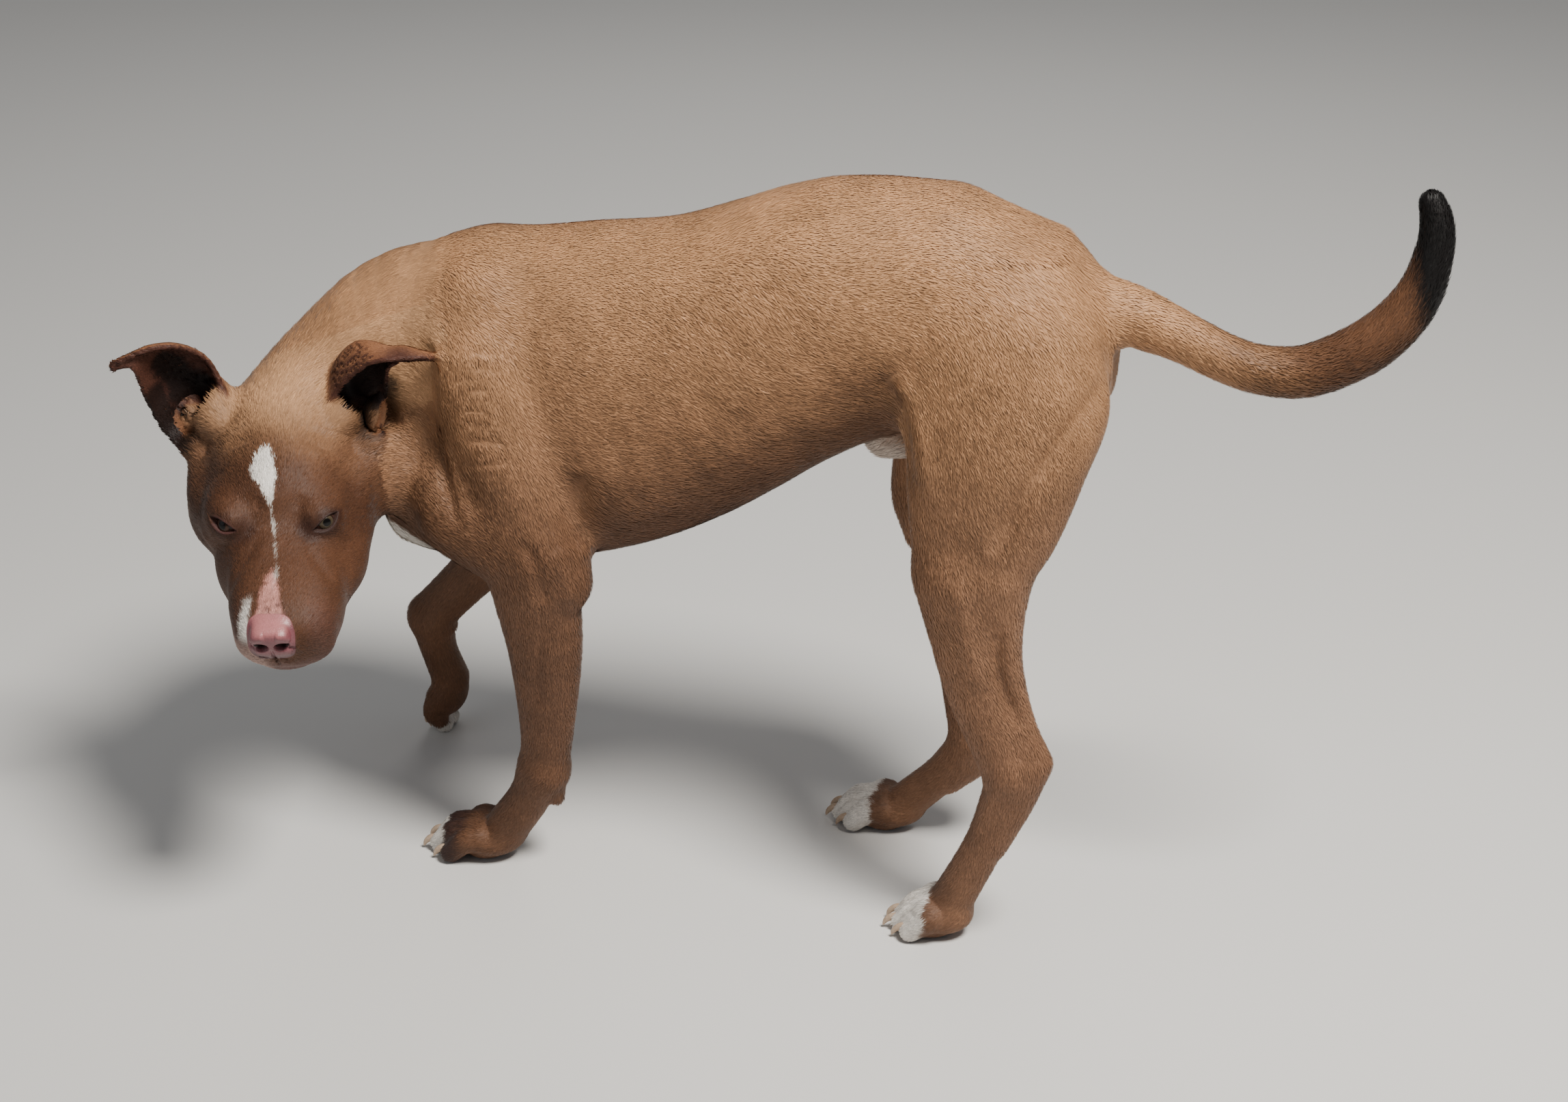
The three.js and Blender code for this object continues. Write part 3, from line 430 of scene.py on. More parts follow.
HOLLOWS = ear_hollows()


def hollow_distance(points, normals):
    """Distance to the air in the ears, for surfaces that face it; large elsewhere."""
    nearest = np.full(len(points), 99.0)
    lo = np.min([b.lo for b in HOLLOWS], 0) - 8
    hi = np.max([b.hi for b in HOLLOWS], 0) + 8
    at = within(points, lo, hi)
    for ball in HOLLOWS:
        facing = ((ball.centre - points[at]) * normals[at]).sum(1) > 0
        gap = np.where(facing, ball.at(points[at]), 99.0)
        nearest[at] = blend_min(nearest[at], gap, 4.0)
    return nearest


NOSE = Ellipsoid(on_head((96, 2, -16.5)), np.array([12, 16.5, 16]) * HEAD_SCALE, HEAD, 3.6)

feet = []  # region, middle, axes, reach, half width; every body adds its four
TOES = (-0.78, 0.7), (-0.29, 1), (0.29, 1), (0.78, 0.7)  # across and along, as shares
HANGING_TOES = (-18, 33), (-7, 45), (7, 45), (18, 33)  # the same for the lifted paw, in mm


def build_body(ear_thickness):
    body = Body()
    put = body.put

    def head_ball(blend, x, y, z, *radii):
        centre, size = on_head((x, y, z)), np.array(radii) * HEAD_SCALE
        return put("head", blend, Ellipsoid(centre, size, HEAD), head_hair)

    def back_and_down(p):
        sag = 0.28 * smooth_step(np.abs(p[:, 1]), 30, 90)
        drop = smooth_step(p[:, 0], 205, 240) * smooth_step(p[:, 2], 520, 480)
        return np.stack([1 - 0.8 * drop, np.zeros(len(p)), -sag - drop], 1)

    put("trunk", 1, Loft(TRUNK), back_and_down)
    neck = Limb(
        [(-222, 0, 422), (-288, -6, 425), (-340, -38, 399), on_head((-100, 0, -12))],
        [84, 78, 63, 51],
        steps=6,
    )

    def neck_hair(p):
        return [0, 0, -0.25] - neck.run(p, 900.0)

    put("neck", 22, neck, neck_hair)
    head_ball(12, -74, 0, -8, 66, 60, 52)
    head_ball(14, -38, 0, 0, 46, 48, 40)
    for side in (-1, 1):
        head_ball(10, -10, side * 33, 8, 22, 17, 15)
        head_ball(14, -52, side * 46, -32, 48, 31, 38)
        head_ball(14, -2, side * 38 + 8, -38, 44, 22, 26)
        head_ball(10, -16, side * 45, -1, 26, 11, 15)
        cheek = [(-8, side * 47, -14), (-40, side * 58, -12), (-70, side * 64, -8)]
        radii = np.array([12, 12, 11]) * HEAD_SCALE
        put("head", 10, Limb(on_head(cheek), radii), head_hair)
    muzzle = np.array(MUZZLE) * HEAD_SCALE
    put("head", 12, Loft(muzzle, HEAD_ORIGIN, HEAD, 2.4), head_hair)
    put("head", 3, NOSE, head_hair)
    head_ball(8, 75, 6, -60, 19, 28, 13)
    for side in (1, -1):
        head_ball(10, -98, side * 50, 22, 26, 20, 22)
        head_ball(8, -80, side * 66, 2, 13, 13, 13)
    for hollow in HOLLOWS:
        put("ear", 3, hollow, cut=True)
    for side in (1, -1):
        grid = ear_grid(side)
        along = unit(grid[-1].mean(0) - grid[0].mean(0))
        put("ear", 6, Sheet(grid, ear_thickness), along)
        put("ear", 6, Limb(on_head(EARS[side][0][:2]), [5, 5], steps=5), along)

    def foot(region, middle, heading, reach, half):
        middle = np.asarray(middle, float)
        forward = unit([heading[0], heading[1], 0])
        across = np.array([-forward[1], forward[0], 0])
        up = np.array([0.0, 0.0, 1.0])
        axes = np.stack([forward, across, up], 1)
        feet.append((region, middle, axes, reach, half))

        def at(*p):
            return middle + axes @ np.asarray(p, float)

        put(region, 10, Ellipsoid(at(-5, 0, 18), (28, half - 1, 16), axes), forward)
        for side, length in TOES:
            y, x = side * half, reach * length
            toe = [at(0, y * 0.85, 23), at(x - 23, y, 20.5), at(x - 10, y, 8.6)]
            put(region, 5, Limb(toe, [10, 10, 9], steps=3))
        put(region, 6, Ellipsoid(at(0, 0, 7), (17, 17, 9)), forward)

    def limb(region, blend, points, radii, **kwargs):
        hair = kwargs.pop("hair", None)
        put(region, blend, Limb(points, radii, **kwargs), hair)

    def ball(region, blend, centre, radii, hair):
        put(region, blend, Ellipsoid(centre, radii), hair)

    down_back = unit([0.45, 0, -1])
    ball("trunk", 30, (-228, -50, 426), (36, 26, 80), down_back)
    limb("foreL", 22, [(-285, -64, 350), (-228, -76, 318), (-172, -82, 292)], [38, 38, 34])
    limb("foreL", 22, [(-215, -62, 425), (-190, -76, 360), (-162, -82, 302)], [40, 36, 28])
    ball("foreL", 10, (-144, -85, 277), (18, 19, 22), down_back)
    arm = [(-173, -84, 270), (-169, -80, 212), (-173, -74, 142), (-179, -70, 98)]
    limb("foreL", 10, arm, [36, 30, 22.5, 20], flat=0.88)
    ball("foreL", 6, (-168, -69, 77), (6, 7, 9), (0, 0, -1))
    limb("foreL", 10, [(-179, -70, 100), (-194, -68, 70), (-212, -66, 43)], [20, 18, 18], flat=1.1)
    foot("foreL", (-236, -66, FLOOR), (-1, -0.06), 46, 26)

    ball("trunk", 30, (-240, 50, 424), (36, 26, 78), down_back)
    limb("foreR", 22, [(-292, 64, 345), (-258, 76, 310), (-222, 84, 276)], [36, 35, 31])
    limb("foreR", 22, [(-225, 62, 420), (-210, 74, 350), (-198, 82, 292)], [38, 34, 26])
    ball("foreR", 10, (-194, 86, 276), (17, 17, 19), down_back)
    arm = [(-224, 86, 264), (-265, 89, 226), (-316, 93, 172), (-352, 96, 133)]
    limb("foreR", 10, arm, [31, 26, 21.5, 20.5], flat=0.9)
    limb("foreR", 8, [(-352, 96, 130), (-351, 104, 96), (-346, 112, 66)], [20, 16.5, 17], flat=1.05)
    ball("foreR", 5, (-336, 98, 124), (7, 8, 8), (0, 0, -1))
    down = unit([-0.16, 0.10, -1])
    across = unit(np.cross(down, [1, 0, 0]))
    front = np.cross(across, down)
    front = front if front[0] < 0 else -front
    axes = np.stack([down, across, front], 1)
    middle = np.array([-347.0, 115.0, 53.0])
    feet.append(("foreR", middle, axes, 45, 24))

    def at(*p):
        return middle + axes @ np.asarray(p, float)

    put("foreR", 8, Ellipsoid(at(4, 0, 0), (23, 23, 15), axes), down)
    for y, x in HANGING_TOES:
        toe = [at(4, y * 0.85, 6), at(x - 14, y, 8), at(x - 7, y, 2)]
        put("foreR", 5, Limb(toe, [10.5, 9.5, 8.5], steps=3))

    for region, side in (("hindL", -1), ("hindR", 1)):
        rows = [
            (600 - z, outer, inner, (rear - front) / 2, (outer + inner) / 2, (rear + front) / 2)
            for z, outer, inner, front, rear in THIGHS[region]
        ]
        axes = np.array([[0, 0, -1], [1, 0, 0], [0, side, 0]], float).T
        put(region, 24, Loft(rows, (0, 0, 600), axes), unit([0.5, 0, -1]))
    limb("hindL", 18, [(156, -74, 316), (171, -75, 240), (199, -74, 170)], [33, 26, 23], flat=0.85)
    calf = [(184, -74, 322), (191, -76, 262), (206, -75, 212), (220, -75, 178)]
    limb("hindL", 10, calf, [24, 15, 10.5, 11.5])
    limb("hindL", 8, [(204, -75, 166), (184, -71, 102), (158, -68, 42)], [21, 16.5, 17], flat=0.9)
    limb("hindL", 8, [(219, -75, 172), (208, -74, 140), (190, -72, 100)], [11, 11.5, 10])
    foot("hindL", (141, -68, FLOOR), (-1, -0.04), 31, 23)
    limb("hindR", 18, [(106, 74, 308), (121, 71, 232), (142, 61, 114)], [33, 25, 21], flat=0.85)
    calf = [(144, 74, 318), (149, 71, 240), (158, 65, 172), (164, 61, 128)]
    limb("hindR", 10, calf, [26, 15, 11, 11.5])
    limb("hindR", 8, [(143, 61, 110), (118, 66, 74), (88, 72, 40)], [20, 16.5, 16.5], flat=0.9)
    limb("hindR", 8, [(163, 61, 122), (148, 62, 92), (124, 66, 66)], [11, 11.5, 10])
    foot("hindR", (64, 74, FLOOR), (-1, 0.04), 43, 23)
    limb("trunk", 10, [(160, 0, 402), (110, 0, 394), (80, 0, 388)], [18, 17, 15])
    tail = np.array(TAIL, float)
    limb("tail", 16, tail[:, :3], tail[:, 3], steps=3)
    return body


# --- meshing -----------------------------------------------------------------------------
CORNERS = [(i, j, k) for i in (0, 1) for j in (0, 1) for k in (0, 1)]  # of a cell
EVALUATED_AT_ONCE = 400000  # points, to bound the memory


def sample(body, lo, hi, cell, coarse=4):
    """Distances on a grid: coarse everywhere, fine near the surface."""
    count = np.ceil((hi - lo) / (cell * coarse)).astype(int) * coarse + 1
    block = cell * coarse
    few = (count - 1) // coarse + 1
    axes = [lo[a] + block * np.arange(few[a]) for a in range(3)]
    points = np.stack(np.meshgrid(*axes, indexing="ij"), -1).reshape(-1, 3)
    rough = body.at(points, band=block * 1.2).reshape(few)
    near = np.abs(rough) < block * 1.5
    cells = np.any([np.roll(near, np.negative(o), (0, 1, 2)) for o in CORNERS], 0)

    def spread(a):
        for axis in range(3):
            a = np.repeat(a, coarse, axis)
        return a[: count[0], : count[1], : count[2]]

    values = spread(rough).astype(np.float32)
    fine = spread(cells).copy()
    fine[1:] |= fine[:-1]
    fine[:, 1:] |= fine[:, :-1]
    fine[:, :, 1:] |= fine[:, :, :-1]
    index = np.argwhere(fine)
    for start in range(0, len(index), EVALUATED_AT_ONCE):
        part = index[start:start + EVALUATED_AT_ONCE]
        values[tuple(part.T)] = body.at(lo + part * cell, band=cell * 2)
    return values


def surface_nets(values, lo, cell):
    """One vertex to a crossed cell, one quad to a crossed edge."""
    inside = values < 0
    n = np.array(values.shape)
    total = np.zeros(n - 1, np.uint8)
    for i, j, k in CORNERS:
        total += inside[i:n[0] - 1 + i, j:n[1] - 1 + j, k:n[2] - 1 + k]
    active = (total > 0) & (total < 8)
    cells = np.argwhere(active)
    number = np.full(active.shape, -1, np.int64)
    number[active] = np.arange(len(cells))
    corner = {o: values[tuple((cells + o).T)] for o in CORNERS}
    total = np.zeros((len(cells), 3))
    crossings = np.zeros(len(cells))
    for a in CORNERS:
        for axis in range(3):
            if a[axis] == 0:
                b = tuple(1 if x == axis else a[x] for x in range(3))
                crossed = (corner[a] < 0) != (corner[b] < 0)
                gap = corner[a] - corner[b]
                t = corner[a] / np.where(crossed, gap, 1)
                spot = np.tile(np.array(a, float), (len(cells), 1))
                spot[:, axis] = t
                total[crossed] += spot[crossed]
                crossings[crossed] += 1
    points = (cells + total / crossings[:, None]) * cell + lo
    quads = []
    for axis in range(3):
        before = [slice(1, -1)] * 3
        after = [slice(1, -1)] * 3
        before[axis], after[axis] = slice(0, -1), slice(1, None)
        a, b = inside[tuple(before)], inside[tuple(after)]
        edge = np.argwhere(a != b)
        filled = a[tuple(edge.T)]
        u, v = [x for x in range(3) if x != axis]
        edge[:, [u, v]] += 1
        ring = []
        for du, dv in ((1, 1), (0, 1), (0, 0), (1, 0)):
            c = edge.copy()
            c[:, u] -= du
            c[:, v] -= dv
            ring.append(number[tuple(c.T)])
        ring = np.stack(ring, 1)
        keep = filled if axis != 1 else ~filled
        ring[~keep] = ring[~keep][:, ::-1]
        quads.append(ring)
    return points, np.concatenate(quads)


def mesh_from(name, points, faces):
    mesh = bpy.data.meshes.new(name)
    mesh.from_pydata(points.tolist(), [], faces.tolist() if hasattr(faces, "tolist") else faces)
    mesh.update()
    return mesh


def read(items, key, width, kind=np.float32):
    values = np.empty(len(items) * width, kind)
    items.foreach_get(key, values)
    return values.reshape(-1, width)


def arrays_of(mesh):
    return read(mesh.vertices, "co", 3).astype(float)


def normals_of(mesh):
    return read(mesh.vertices, "normal", 3).astype(float)


def move(mesh, points):
    mesh.vertices.foreach_set("co", points.astype(np.float32).ravel())
    mesh.update()


@contextlib.contextmanager
def edited(mesh):
    bm = bmesh.new()
    bm.from_mesh(mesh)
    yield bm
    bm.to_mesh(mesh)
    bm.free()


def refine(mesh, where):
    """Splits every edge whose both ends are in the mask."""
    mask = where(arrays_of(mesh))
    with edited(mesh) as bm:
        edges = [e for e in bm.edges if mask[e.verts[0].index] and mask[e.verts[1].index]]
        bmesh.ops.subdivide_edges(bm, edges=edges, cuts=1, use_grid_fill=True)
        bmesh.ops.triangulate(bm, faces=[f for f in bm.faces if len(f.verts) > 4])
    mesh.update()


def settle(points, value, rounds=3, limit=4.0):
    """Moves points along the slope of `value` onto its zero."""
    start = points.copy()
    step = 0.1
    for _ in range(rounds):
        v = value(points)
        slope = np.stack([(value(points + step * e) - v) / step for e in np.eye(3)], 1)
        steep = np.maximum((slope * slope).sum(1), 0.3)
        moved = points - slope * (v / steep)[:, None]
        far = moved - start
        length = lengths(far)
        scale = np.minimum(1, limit / np.maximum(length, 1e-6))
        points = start + far * scale[:, None]
    return points


# --- the skin ------------------------------------------------------------------------------
outline = build_body(EAR_OUTLINE)
flesh = build_body(EAR_FLESH)

# Eyes: the middle of each opening on the head, and the way the eye looks.
EYES = {}
for side in (1, -1):
    sight = unit(HEAD @ unit([0.70, 0.46 * side, 0.54]))
    surface = on_head((9.5, 2 + 39 * side, 12))
    corner = HEAD @ unit([-0.62, 0.75, 0.08] if side > 0 else [-0.52, -0.82, 0.05])
    across = unit(corner - sight * (corner @ sight))
    up = np.cross(sight, across)
    up *= np.sign(up @ HEAD[:, 2])
    EYES[side] = {"centre": surface - sight * EYE_DEPTH, "axes": np.stack([across, up, sight], 1)}
for eye in EYES.values():
    flesh.put("head", 9, Ellipsoid(eye["centre"], EYE_RADIUS + 1.0), head_hair)

EYE_HALF_WIDTH = 0.98  # the opening's half width, as an angle on the eyeball
UPPER_LID, LOWER_LID = 0.30, 0.42


def inside_opening(eye, points):
    """Millimetres inside the edge of the lids, and the distance from the eye's centre."""
    q = (points - eye["centre"]) @ eye["axes"]
    reach = lengths(q)
    a = np.arctan2(q[:, 0], np.maximum(q[:, 2], 1e-3))
    b = np.arctan2(q[:, 1], np.maximum(q[:, 2], 1e-3))
    lift = 0.10 * a  # the outer corner stands higher
    bow = np.clip(1 - (a / EYE_HALF_WIDTH) ** 2, 0, 1)
    upper = UPPER_LID * bow**0.6 + lift
    lower = -LOWER_LID * bow**0.75 + lift
    s = np.minimum(upper - b, b - lower)
    s = np.where(np.abs(a) < EYE_HALF_WIDTH, s, -(np.abs(a) - EYE_HALF_WIDTH) - np.abs(b - lift))
    s = np.where(q[:, 2] > 0, s, -1.0)
    return s * EYE_RADIUS, reach


folds = []  # points, width, height
FOLD_REACH = 16.0  # how far a fold's line may lie from the surface


def flesh_value(points):
    return flesh.at(points, band=24.0)


def fold(points, width, height, local=False, both=False):
    """A ridge (height above 0) or a groove along a line, fading at its ends."""
    points = np.asarray(points, float)
    if both:
        fold(points * [1, -1, 1] + ([0, 12, 0] if local else [0, 0, 0]), width, height, local)
    line = smooth_curve(on_head(points) if local else points, np.linspace(0, len(points) - 1, 13))
    folds.append((settle(line, flesh_value, 4, FOLD_REACH), width, height))


# Face. The muzzle's middle lies at +6 to the dog's left.
LIP = [(97, 6, -48), (93, 18, -51), (84, 31, -53), (62, 43, -53), (32, 49, -53), (6, 51, -48)]
for width, height, both, line in (
    (1.5, -2.6, True, LIP),
    (6, 1.2, True, [(84, 30, -42), (60, 42, -45), (30, 48, -46)]),
    (1.2, -2.0, False, [(107, 2, -18), (106, 2, -27), (102, 3, -36), (99, 5, -47)]),
    (5, -1.2, True, [(24, 24, -4), (40, 27, -12), (56, 33, -18)]),
    (5, -1.1, False, [(-4, 4, 26), (-24, 2, 36), (-48, 1, 41)]),
    (4, -1.2, True, [(-8, 22, 22), (0, 20, 14)]),
    (4.5, -0.8, True, [(16, 22, 6), (28, 26, -2)]),
    (14, -2.4, True, [(-46, 36, 34), (-66, 38, 36)]),
    (10, -11, True, [(-98, 66, 36), (-100, 74, 14), (-94, 74, -10), (-86, 66, -34)]),
):
    fold(line, width, height, local=True, both=both)
# Neck and shoulder.
for width, height, line in (
    (16, -8.0, [(-246, -93, 462), (-258, -92, 400), (-271, -104, 344), (-270, -94, 300)]),
    (4.5, 2.6, [(-240, -97, 395), (-231, -99, 365), (-214, -113, 327)]),
    (4.5, -2.6, [(-247, -97, 392), (-239, -99, 362), (-223, -113, 325)]),
):
    fold(line, width, height)
for i in range(12):
    z = 462 - 9.5 * i + 2.5 * math.sin(5.3 * i)
    x = -203 + 5 * math.sin(2.1 * i)
    half = 13 + 5 * math.sin(3.7 * i)
    y = -97 - 11 * math.sin(math.pi * min(1, i / 9))
    rise = 2.5 * math.sin(4.4 * i)
    wrinkle = [(x - half, y, z - 1.5), (x, y, z + 1), (x + half, y, z + rise)]
    fold(wrinkle, 2.8, -1.1 - 0.5 * math.sin(2.9 * i))
for width, height, line in (
    (6, -3.2, [(-172, -110, 322), (-160, -112, 300), (-156, -108, 270)]),
    (5, 2.0, [(-150, -104, 312), (-140, -106, 292), (-138, -102, 268)]),
    (4, -1.7, [(-158, -100, 262), (-164, -106, 220), (-168, -100, 170)]),
    (4.0, 1.5, [(-186, -104, 262), (-184, -101, 214), (-182, -96, 160)]),
    (10, -4.5, [(-132, -96, 372), (-136, -94, 335), (-124, -88, 305)]),
):
    fold(line, width, height)
# Thigh, knee and hock, left then right.
for side, shift in ((-1, 0), (1, -34)):
    for width, height, line in (
        (9, 3.4, [(104, -76, 470), (122, -84, 445), (140, -96, 380)]),
        (8, -2.6, [(96, -74, 470), (108, -80, 430), (116, -88, 385)]),
        (9, -5.0, [(246, -50, 480), (228, -86, 440), (200, -98, 392), (186, -98, 350)]),
        (5.5, -4.6, [(188, -92, 300), (191, -90, 254), (208, -84, 208)]),
        (6, 2.6, [(160, -96, 330), (166, -98, 290), (180, -94, 240)]),
        (4, 1.4, [(200, -80, 168), (188, -84, 140), (172, -82, 100)]),
    ):
        fold([(x + shift, -side * y, z) for x, y, z in line], width, height)
# Ribs.
for i in range(6):
    x = -100 + 24 * i
    z = 360 + 10 * i
    for side in (-1, 1):
        rib = [(x - 6, side * 90, z + 60), (x, side * 94, z + 20), (x + 16, side * 84, z - 22)]
        fold(rib, 8, -0.9)

NOSTRILS = [on_head((107, 2 + 8.2 * s, -16)) for s in (-1, 1)]
for s in (-1, 1):
    wing = [(107, 2 + s * 11, -17.5), (104, 2 + s * 14.5, -19.5), (100, 2 + s * 16.5, -18.5)]
    fold(wing, 2.2, -2.0, local=True)
    rim = [(105, 2 + s * 4, -5), (105.5, 2 + s * 10, -6), (103, 2 + s * 15, -11)]
    fold(rim, 3.0, 1.5, local=True)


def leather(points):
    """1 on the bare nose, 0 on the coat."""
    h = head_local(points)
    return smooth_step(NOSE.at(points), 2.3, 1.5) * (h[:, 0] > 85) * (h[:, 2] > -38)


def line_distance(points, line):
    """Distance to a smooth line, and the place along it, 0 to 1."""
    curve = line if len(line) > 12 else smooth_curve(line, np.linspace(0, len(line) - 1, 24))
    best = np.full(len(points), 1e9)
    where = np.zeros(len(points))
    for i, (a, b) in enumerate(zip(curve, curve[1:])):
        q = points - a
        along = (b - a) / (np.linalg.norm(b - a) ** 2)
        t = np.clip(q @ along, 0, 1)
        d = ((q - np.outer(t, b - a)) ** 2).sum(1)
        closer = d < best
        best = np.where(closer, d, best)
        where = np.where(closer, (i + t) / (len(curve) - 1), where)
    return np.sqrt(best), where


def fold_height(points):
    total = np.zeros(len(points))
    for line, width, height in folds:
        at = within(points, line.min(0), line.max(0), 2.6 * width)
        if not len(at):
            continue
        gap, where = line_distance(points[at], line)
        fade = np.clip(4 * where * (1 - where) * 1.6, 0, 1) ** 0.7
        total[at] += height * np.exp(-((gap / width) ** 2)) * fade
    return total


def toe_grooves(points):
    """Depth of the grooves between the toes of every foot."""
    depth = np.zeros(len(points))
    for _, middle, axes, reach, half in feet[:4]:
        q = (points - middle) @ axes
        near = (lengths(q) < 80) * smooth_step(q[:, 0], 0.1 * reach, 0.45 * reach)
        near = near * smooth_step(q[:, 2], 3, 9)
        for y, size in ((-0.54, 2.2), (0.0, 2.6), (0.54, 2.2)):
            depth += near * size * np.exp(-(((q[:, 1] - y * half) / 1.9) ** 2))
    return depth


def bores(points):
    """How deep the nostrils go."""
    depth = np.zeros(len(points))
    for centre in NOSTRILS:
        q = (points - centre) @ HEAD
        d = np.sqrt((q[:, 0] * 0.5) ** 2 + q[:, 1] ** 2 + (q[:, 2] * 1.25) ** 2)
        depth += 6.5 * smooth_step(d, 6.6, 3.4)
    return depth


def coat_depth(points):
    """How deep the skin lies under the coat: less on the face, the feet and the ears."""
    h = head_local(points)
    face = smooth_step(h[:, 0], -60, 30) * (np.abs(h[:, 1]) < 90) * (np.abs(h[:, 2]) < 90)
    low = smooth_step(points[:, 2], 70, 30)
    ears = smooth_step(h[:, 2], 14, 34) * (h[:, 0] < -70) * (h[:, 2] < 110)
    ears = ears * smooth_step(np.abs(h[:, 1]), 34, 46) * (np.abs(h[:, 1]) < 130)
    return COAT_DEPTH * (1 - np.maximum(0.6 * np.maximum(face, low), 0.8 * ears))


def skin_value(points):
    return flesh.at(points, band=8.0) + coat_depth(points)


lo = np.array([-474.0, -266.0, -6.0])
hi = np.array([486.0, 152.0, 640.0])
points, quads = surface_nets(sample(outline, lo, hi, SKIN_CELL) + INSET, lo, SKIN_CELL)
skin_mesh = mesh_from("skin", points, quads)


def smooth_pits(mesh, points):
    """Draws a vertex that stands well off its neighbours on an ear back among them."""
    a, b = read(mesh.edges, "vertices", 2, np.int32).T
    ends = np.concatenate([a, b])
    count = np.bincount(ends, minlength=len(points))[:, None]
    h = head_local(points)
    ears = (h[:, 0] < -66) & (h[:, 2] > 4) & (np.abs(h[:, 1]) > 34) & (h[:, 2] < 112)
    for _ in range(3):
        far = np.concatenate([points[b], points[a]])
        total = [np.bincount(ends, far[:, axis], len(points)) for axis in range(3)]
        mean = np.stack(total, 1) / np.maximum(count, 1)
        off = lengths(points - mean)
        pull = (ears * smooth_step(off, 0.15, 0.5))[:, None]
        points = points + (mean - points) * pull
    return points


def near_eyes(p, reach):
    return np.any([lengths(p - eye["centre"]) < reach for eye in EYES.values()], 0)


def near_face_or_paws(p):
    return boxed(head_local(p), (-128, -124, -104), (112, 124, 104)) | (p[:, 2] < PAW_HEIGHT)


def near_features(p):
    return boxed(head_local(p), (74, -40, -60), (math.inf, 40, 20)) | near_eyes(p, 18)


def near_lids(p):
    return boxed(head_local(p), (88, -20, -38), (math.inf, 24, 5)) | near_eyes(p, 14.5)


refine(skin_mesh, near_face_or_paws)
points = settle(arrays_of(skin_mesh), skin_value)
move(skin_mesh, points)
refine(skin_mesh, near_features)
refine(skin_mesh, near_lids)
points = settle(arrays_of(skin_mesh), skin_value, 2)
move(skin_mesh, points)
points = smooth_pits(skin_mesh, points)
move(skin_mesh, points)
normals = normals_of(skin_mesh)
points = points + normals * (fold_height(points) - bores(points) - toe_grooves(points))[:, None]
for eye in EYES.values():
    s, reach = inside_opening(eye, points)
    q = points - eye["centre"]
    open_part = smooth_step(s, -0.35, 0.45) * (reach < EYE_RADIUS + 6)
    aim = reach * (1 - open_part) + (EYE_RADIUS - 1.6) * open_part
    points = eye["centre"] + q * (aim / np.maximum(reach, 1e-6))[:, None]
points[:, 2] = np.maximum(points[:, 2], FLOOR + 0.35)
move(skin_mesh, points)
normals = normals_of(skin_mesh)
print("skin", len(points), "vertices", len(skin_mesh.polygons), "faces")


# --- regions, colours and the lie of the coat ------------------------------------------------
REGIONS = ["head", "ear", "neck", "trunk", "tail", "foreL", "foreR", "hindL", "hindR"]
HEAD_PART, NECK, TAIL_PART = 0, 2, 4  # numbers in REGIONS; the legs follow the tail


def region_of(points):
    """The region whose shapes come nearest."""
    best = np.full(len(points), 1e9)
    name = np.zeros(len(points), int)
    for s in flesh.shapes:
        if s.cut:
            continue
        at = within(points, s.lo, s.hi, 14)
        if len(at):
            d = s.at(points[at])
            closer = d < best[at]
            best[at] = np.where(closer, d, best[at])
            name[at] = np.where(closer, REGIONS.index(s.region), name[at])
    return name


def colour(r, g, b):
    c = np.array([r, g, b]) / 255.0
    return np.where(c <= 0.04045, c / 12.92, ((c + 0.055) / 1.055) ** 2.4)


BACK = colour(180, 135, 96)
FLANK = colour(142, 104, 77)
LOW_LEG = colour(132, 96, 72)
FACE = colour(86, 56, 39)
CROWN = colour(184, 142, 104)
EYE_SHADE = colour(58, 35, 26)
PAINTED_SHADE = colour(84, 55, 38)
LIPS = colour(98, 68, 62)
TAIL_MIDDLE = colour(72, 44, 29)
TAIL_END = colour(9, 6, 6)
EAR_INSIDE = colour(74, 44, 36)
EAR_HOLLOW_SHADE = colour(20, 12, 10)
EAR_BACK = colour(140, 95, 66)
WHITE = colour(232, 226, 218)
DARK_TOE = colour(58, 40, 36)
LIP_LINE_AND_SHADE = colour(44, 28, 28)
PINK = colour(214, 152, 142)
RIM = colour(72, 42, 38)
DARK_RIM = colour(56, 36, 31)
NOSE_LEATHER = colour(122, 70, 76)
NOSE_TOP = colour(176, 112, 112)
PAD = colour(84, 60, 56)


def paint(base, over, amount):
    return base + (over - base) * np.clip(amount, 0, 1)[:, None]


def wander(points, scale, seed):
    """A smooth wandering value about 0, from sines in several directions."""
    source = np.random.default_rng(seed)
    total = np.zeros(len(points))
    for _ in range(7):
        way = unit(source.normal(size=3)) / (scale * source.uniform(0.6, 1.6))
        total += np.sin(points @ way * 2 * math.pi + source.uniform(0, 6.3))
    return total / 4


def ear_side(points, normals):
    """How much a point lies on an ear, and whether it faces the ear's hollow."""
    on_ear = np.zeros(len(points))
    hollow = np.zeros(len(points))
    for side in (1, -1):
        rows = np.array(EARS[side], float)
        opening = rows_unit(0.5 * (rows[:, 0] + rows[:, 2]) - rows[:, 1]) @ HEAD.T
        sheet = Sheet(ear_grid(side), 8)
        for i in within(points, sheet.lo, sheet.hi):
            _, _, index, d = sheet.tree.find_nearest(points[i].tolist())
            if d < 6:
                row = index // EAR_WIDE / EAR_LONG * (len(rows) - 1)
                k = min(int(row), len(rows) - 2)
                way = opening[k] * (1 - row + k) + opening[k + 1] * (row - k)
                amount = 1 - min(max((d - 2.2) / 3.0, 0), 1)
                on_ear[i] = max(on_ear[i], amount)
                facing = float(normals[i] @ way)
                hollow[i] = amount * min(max((facing + 0.5) / 0.3, 0), 1)
    return on_ear, hollow


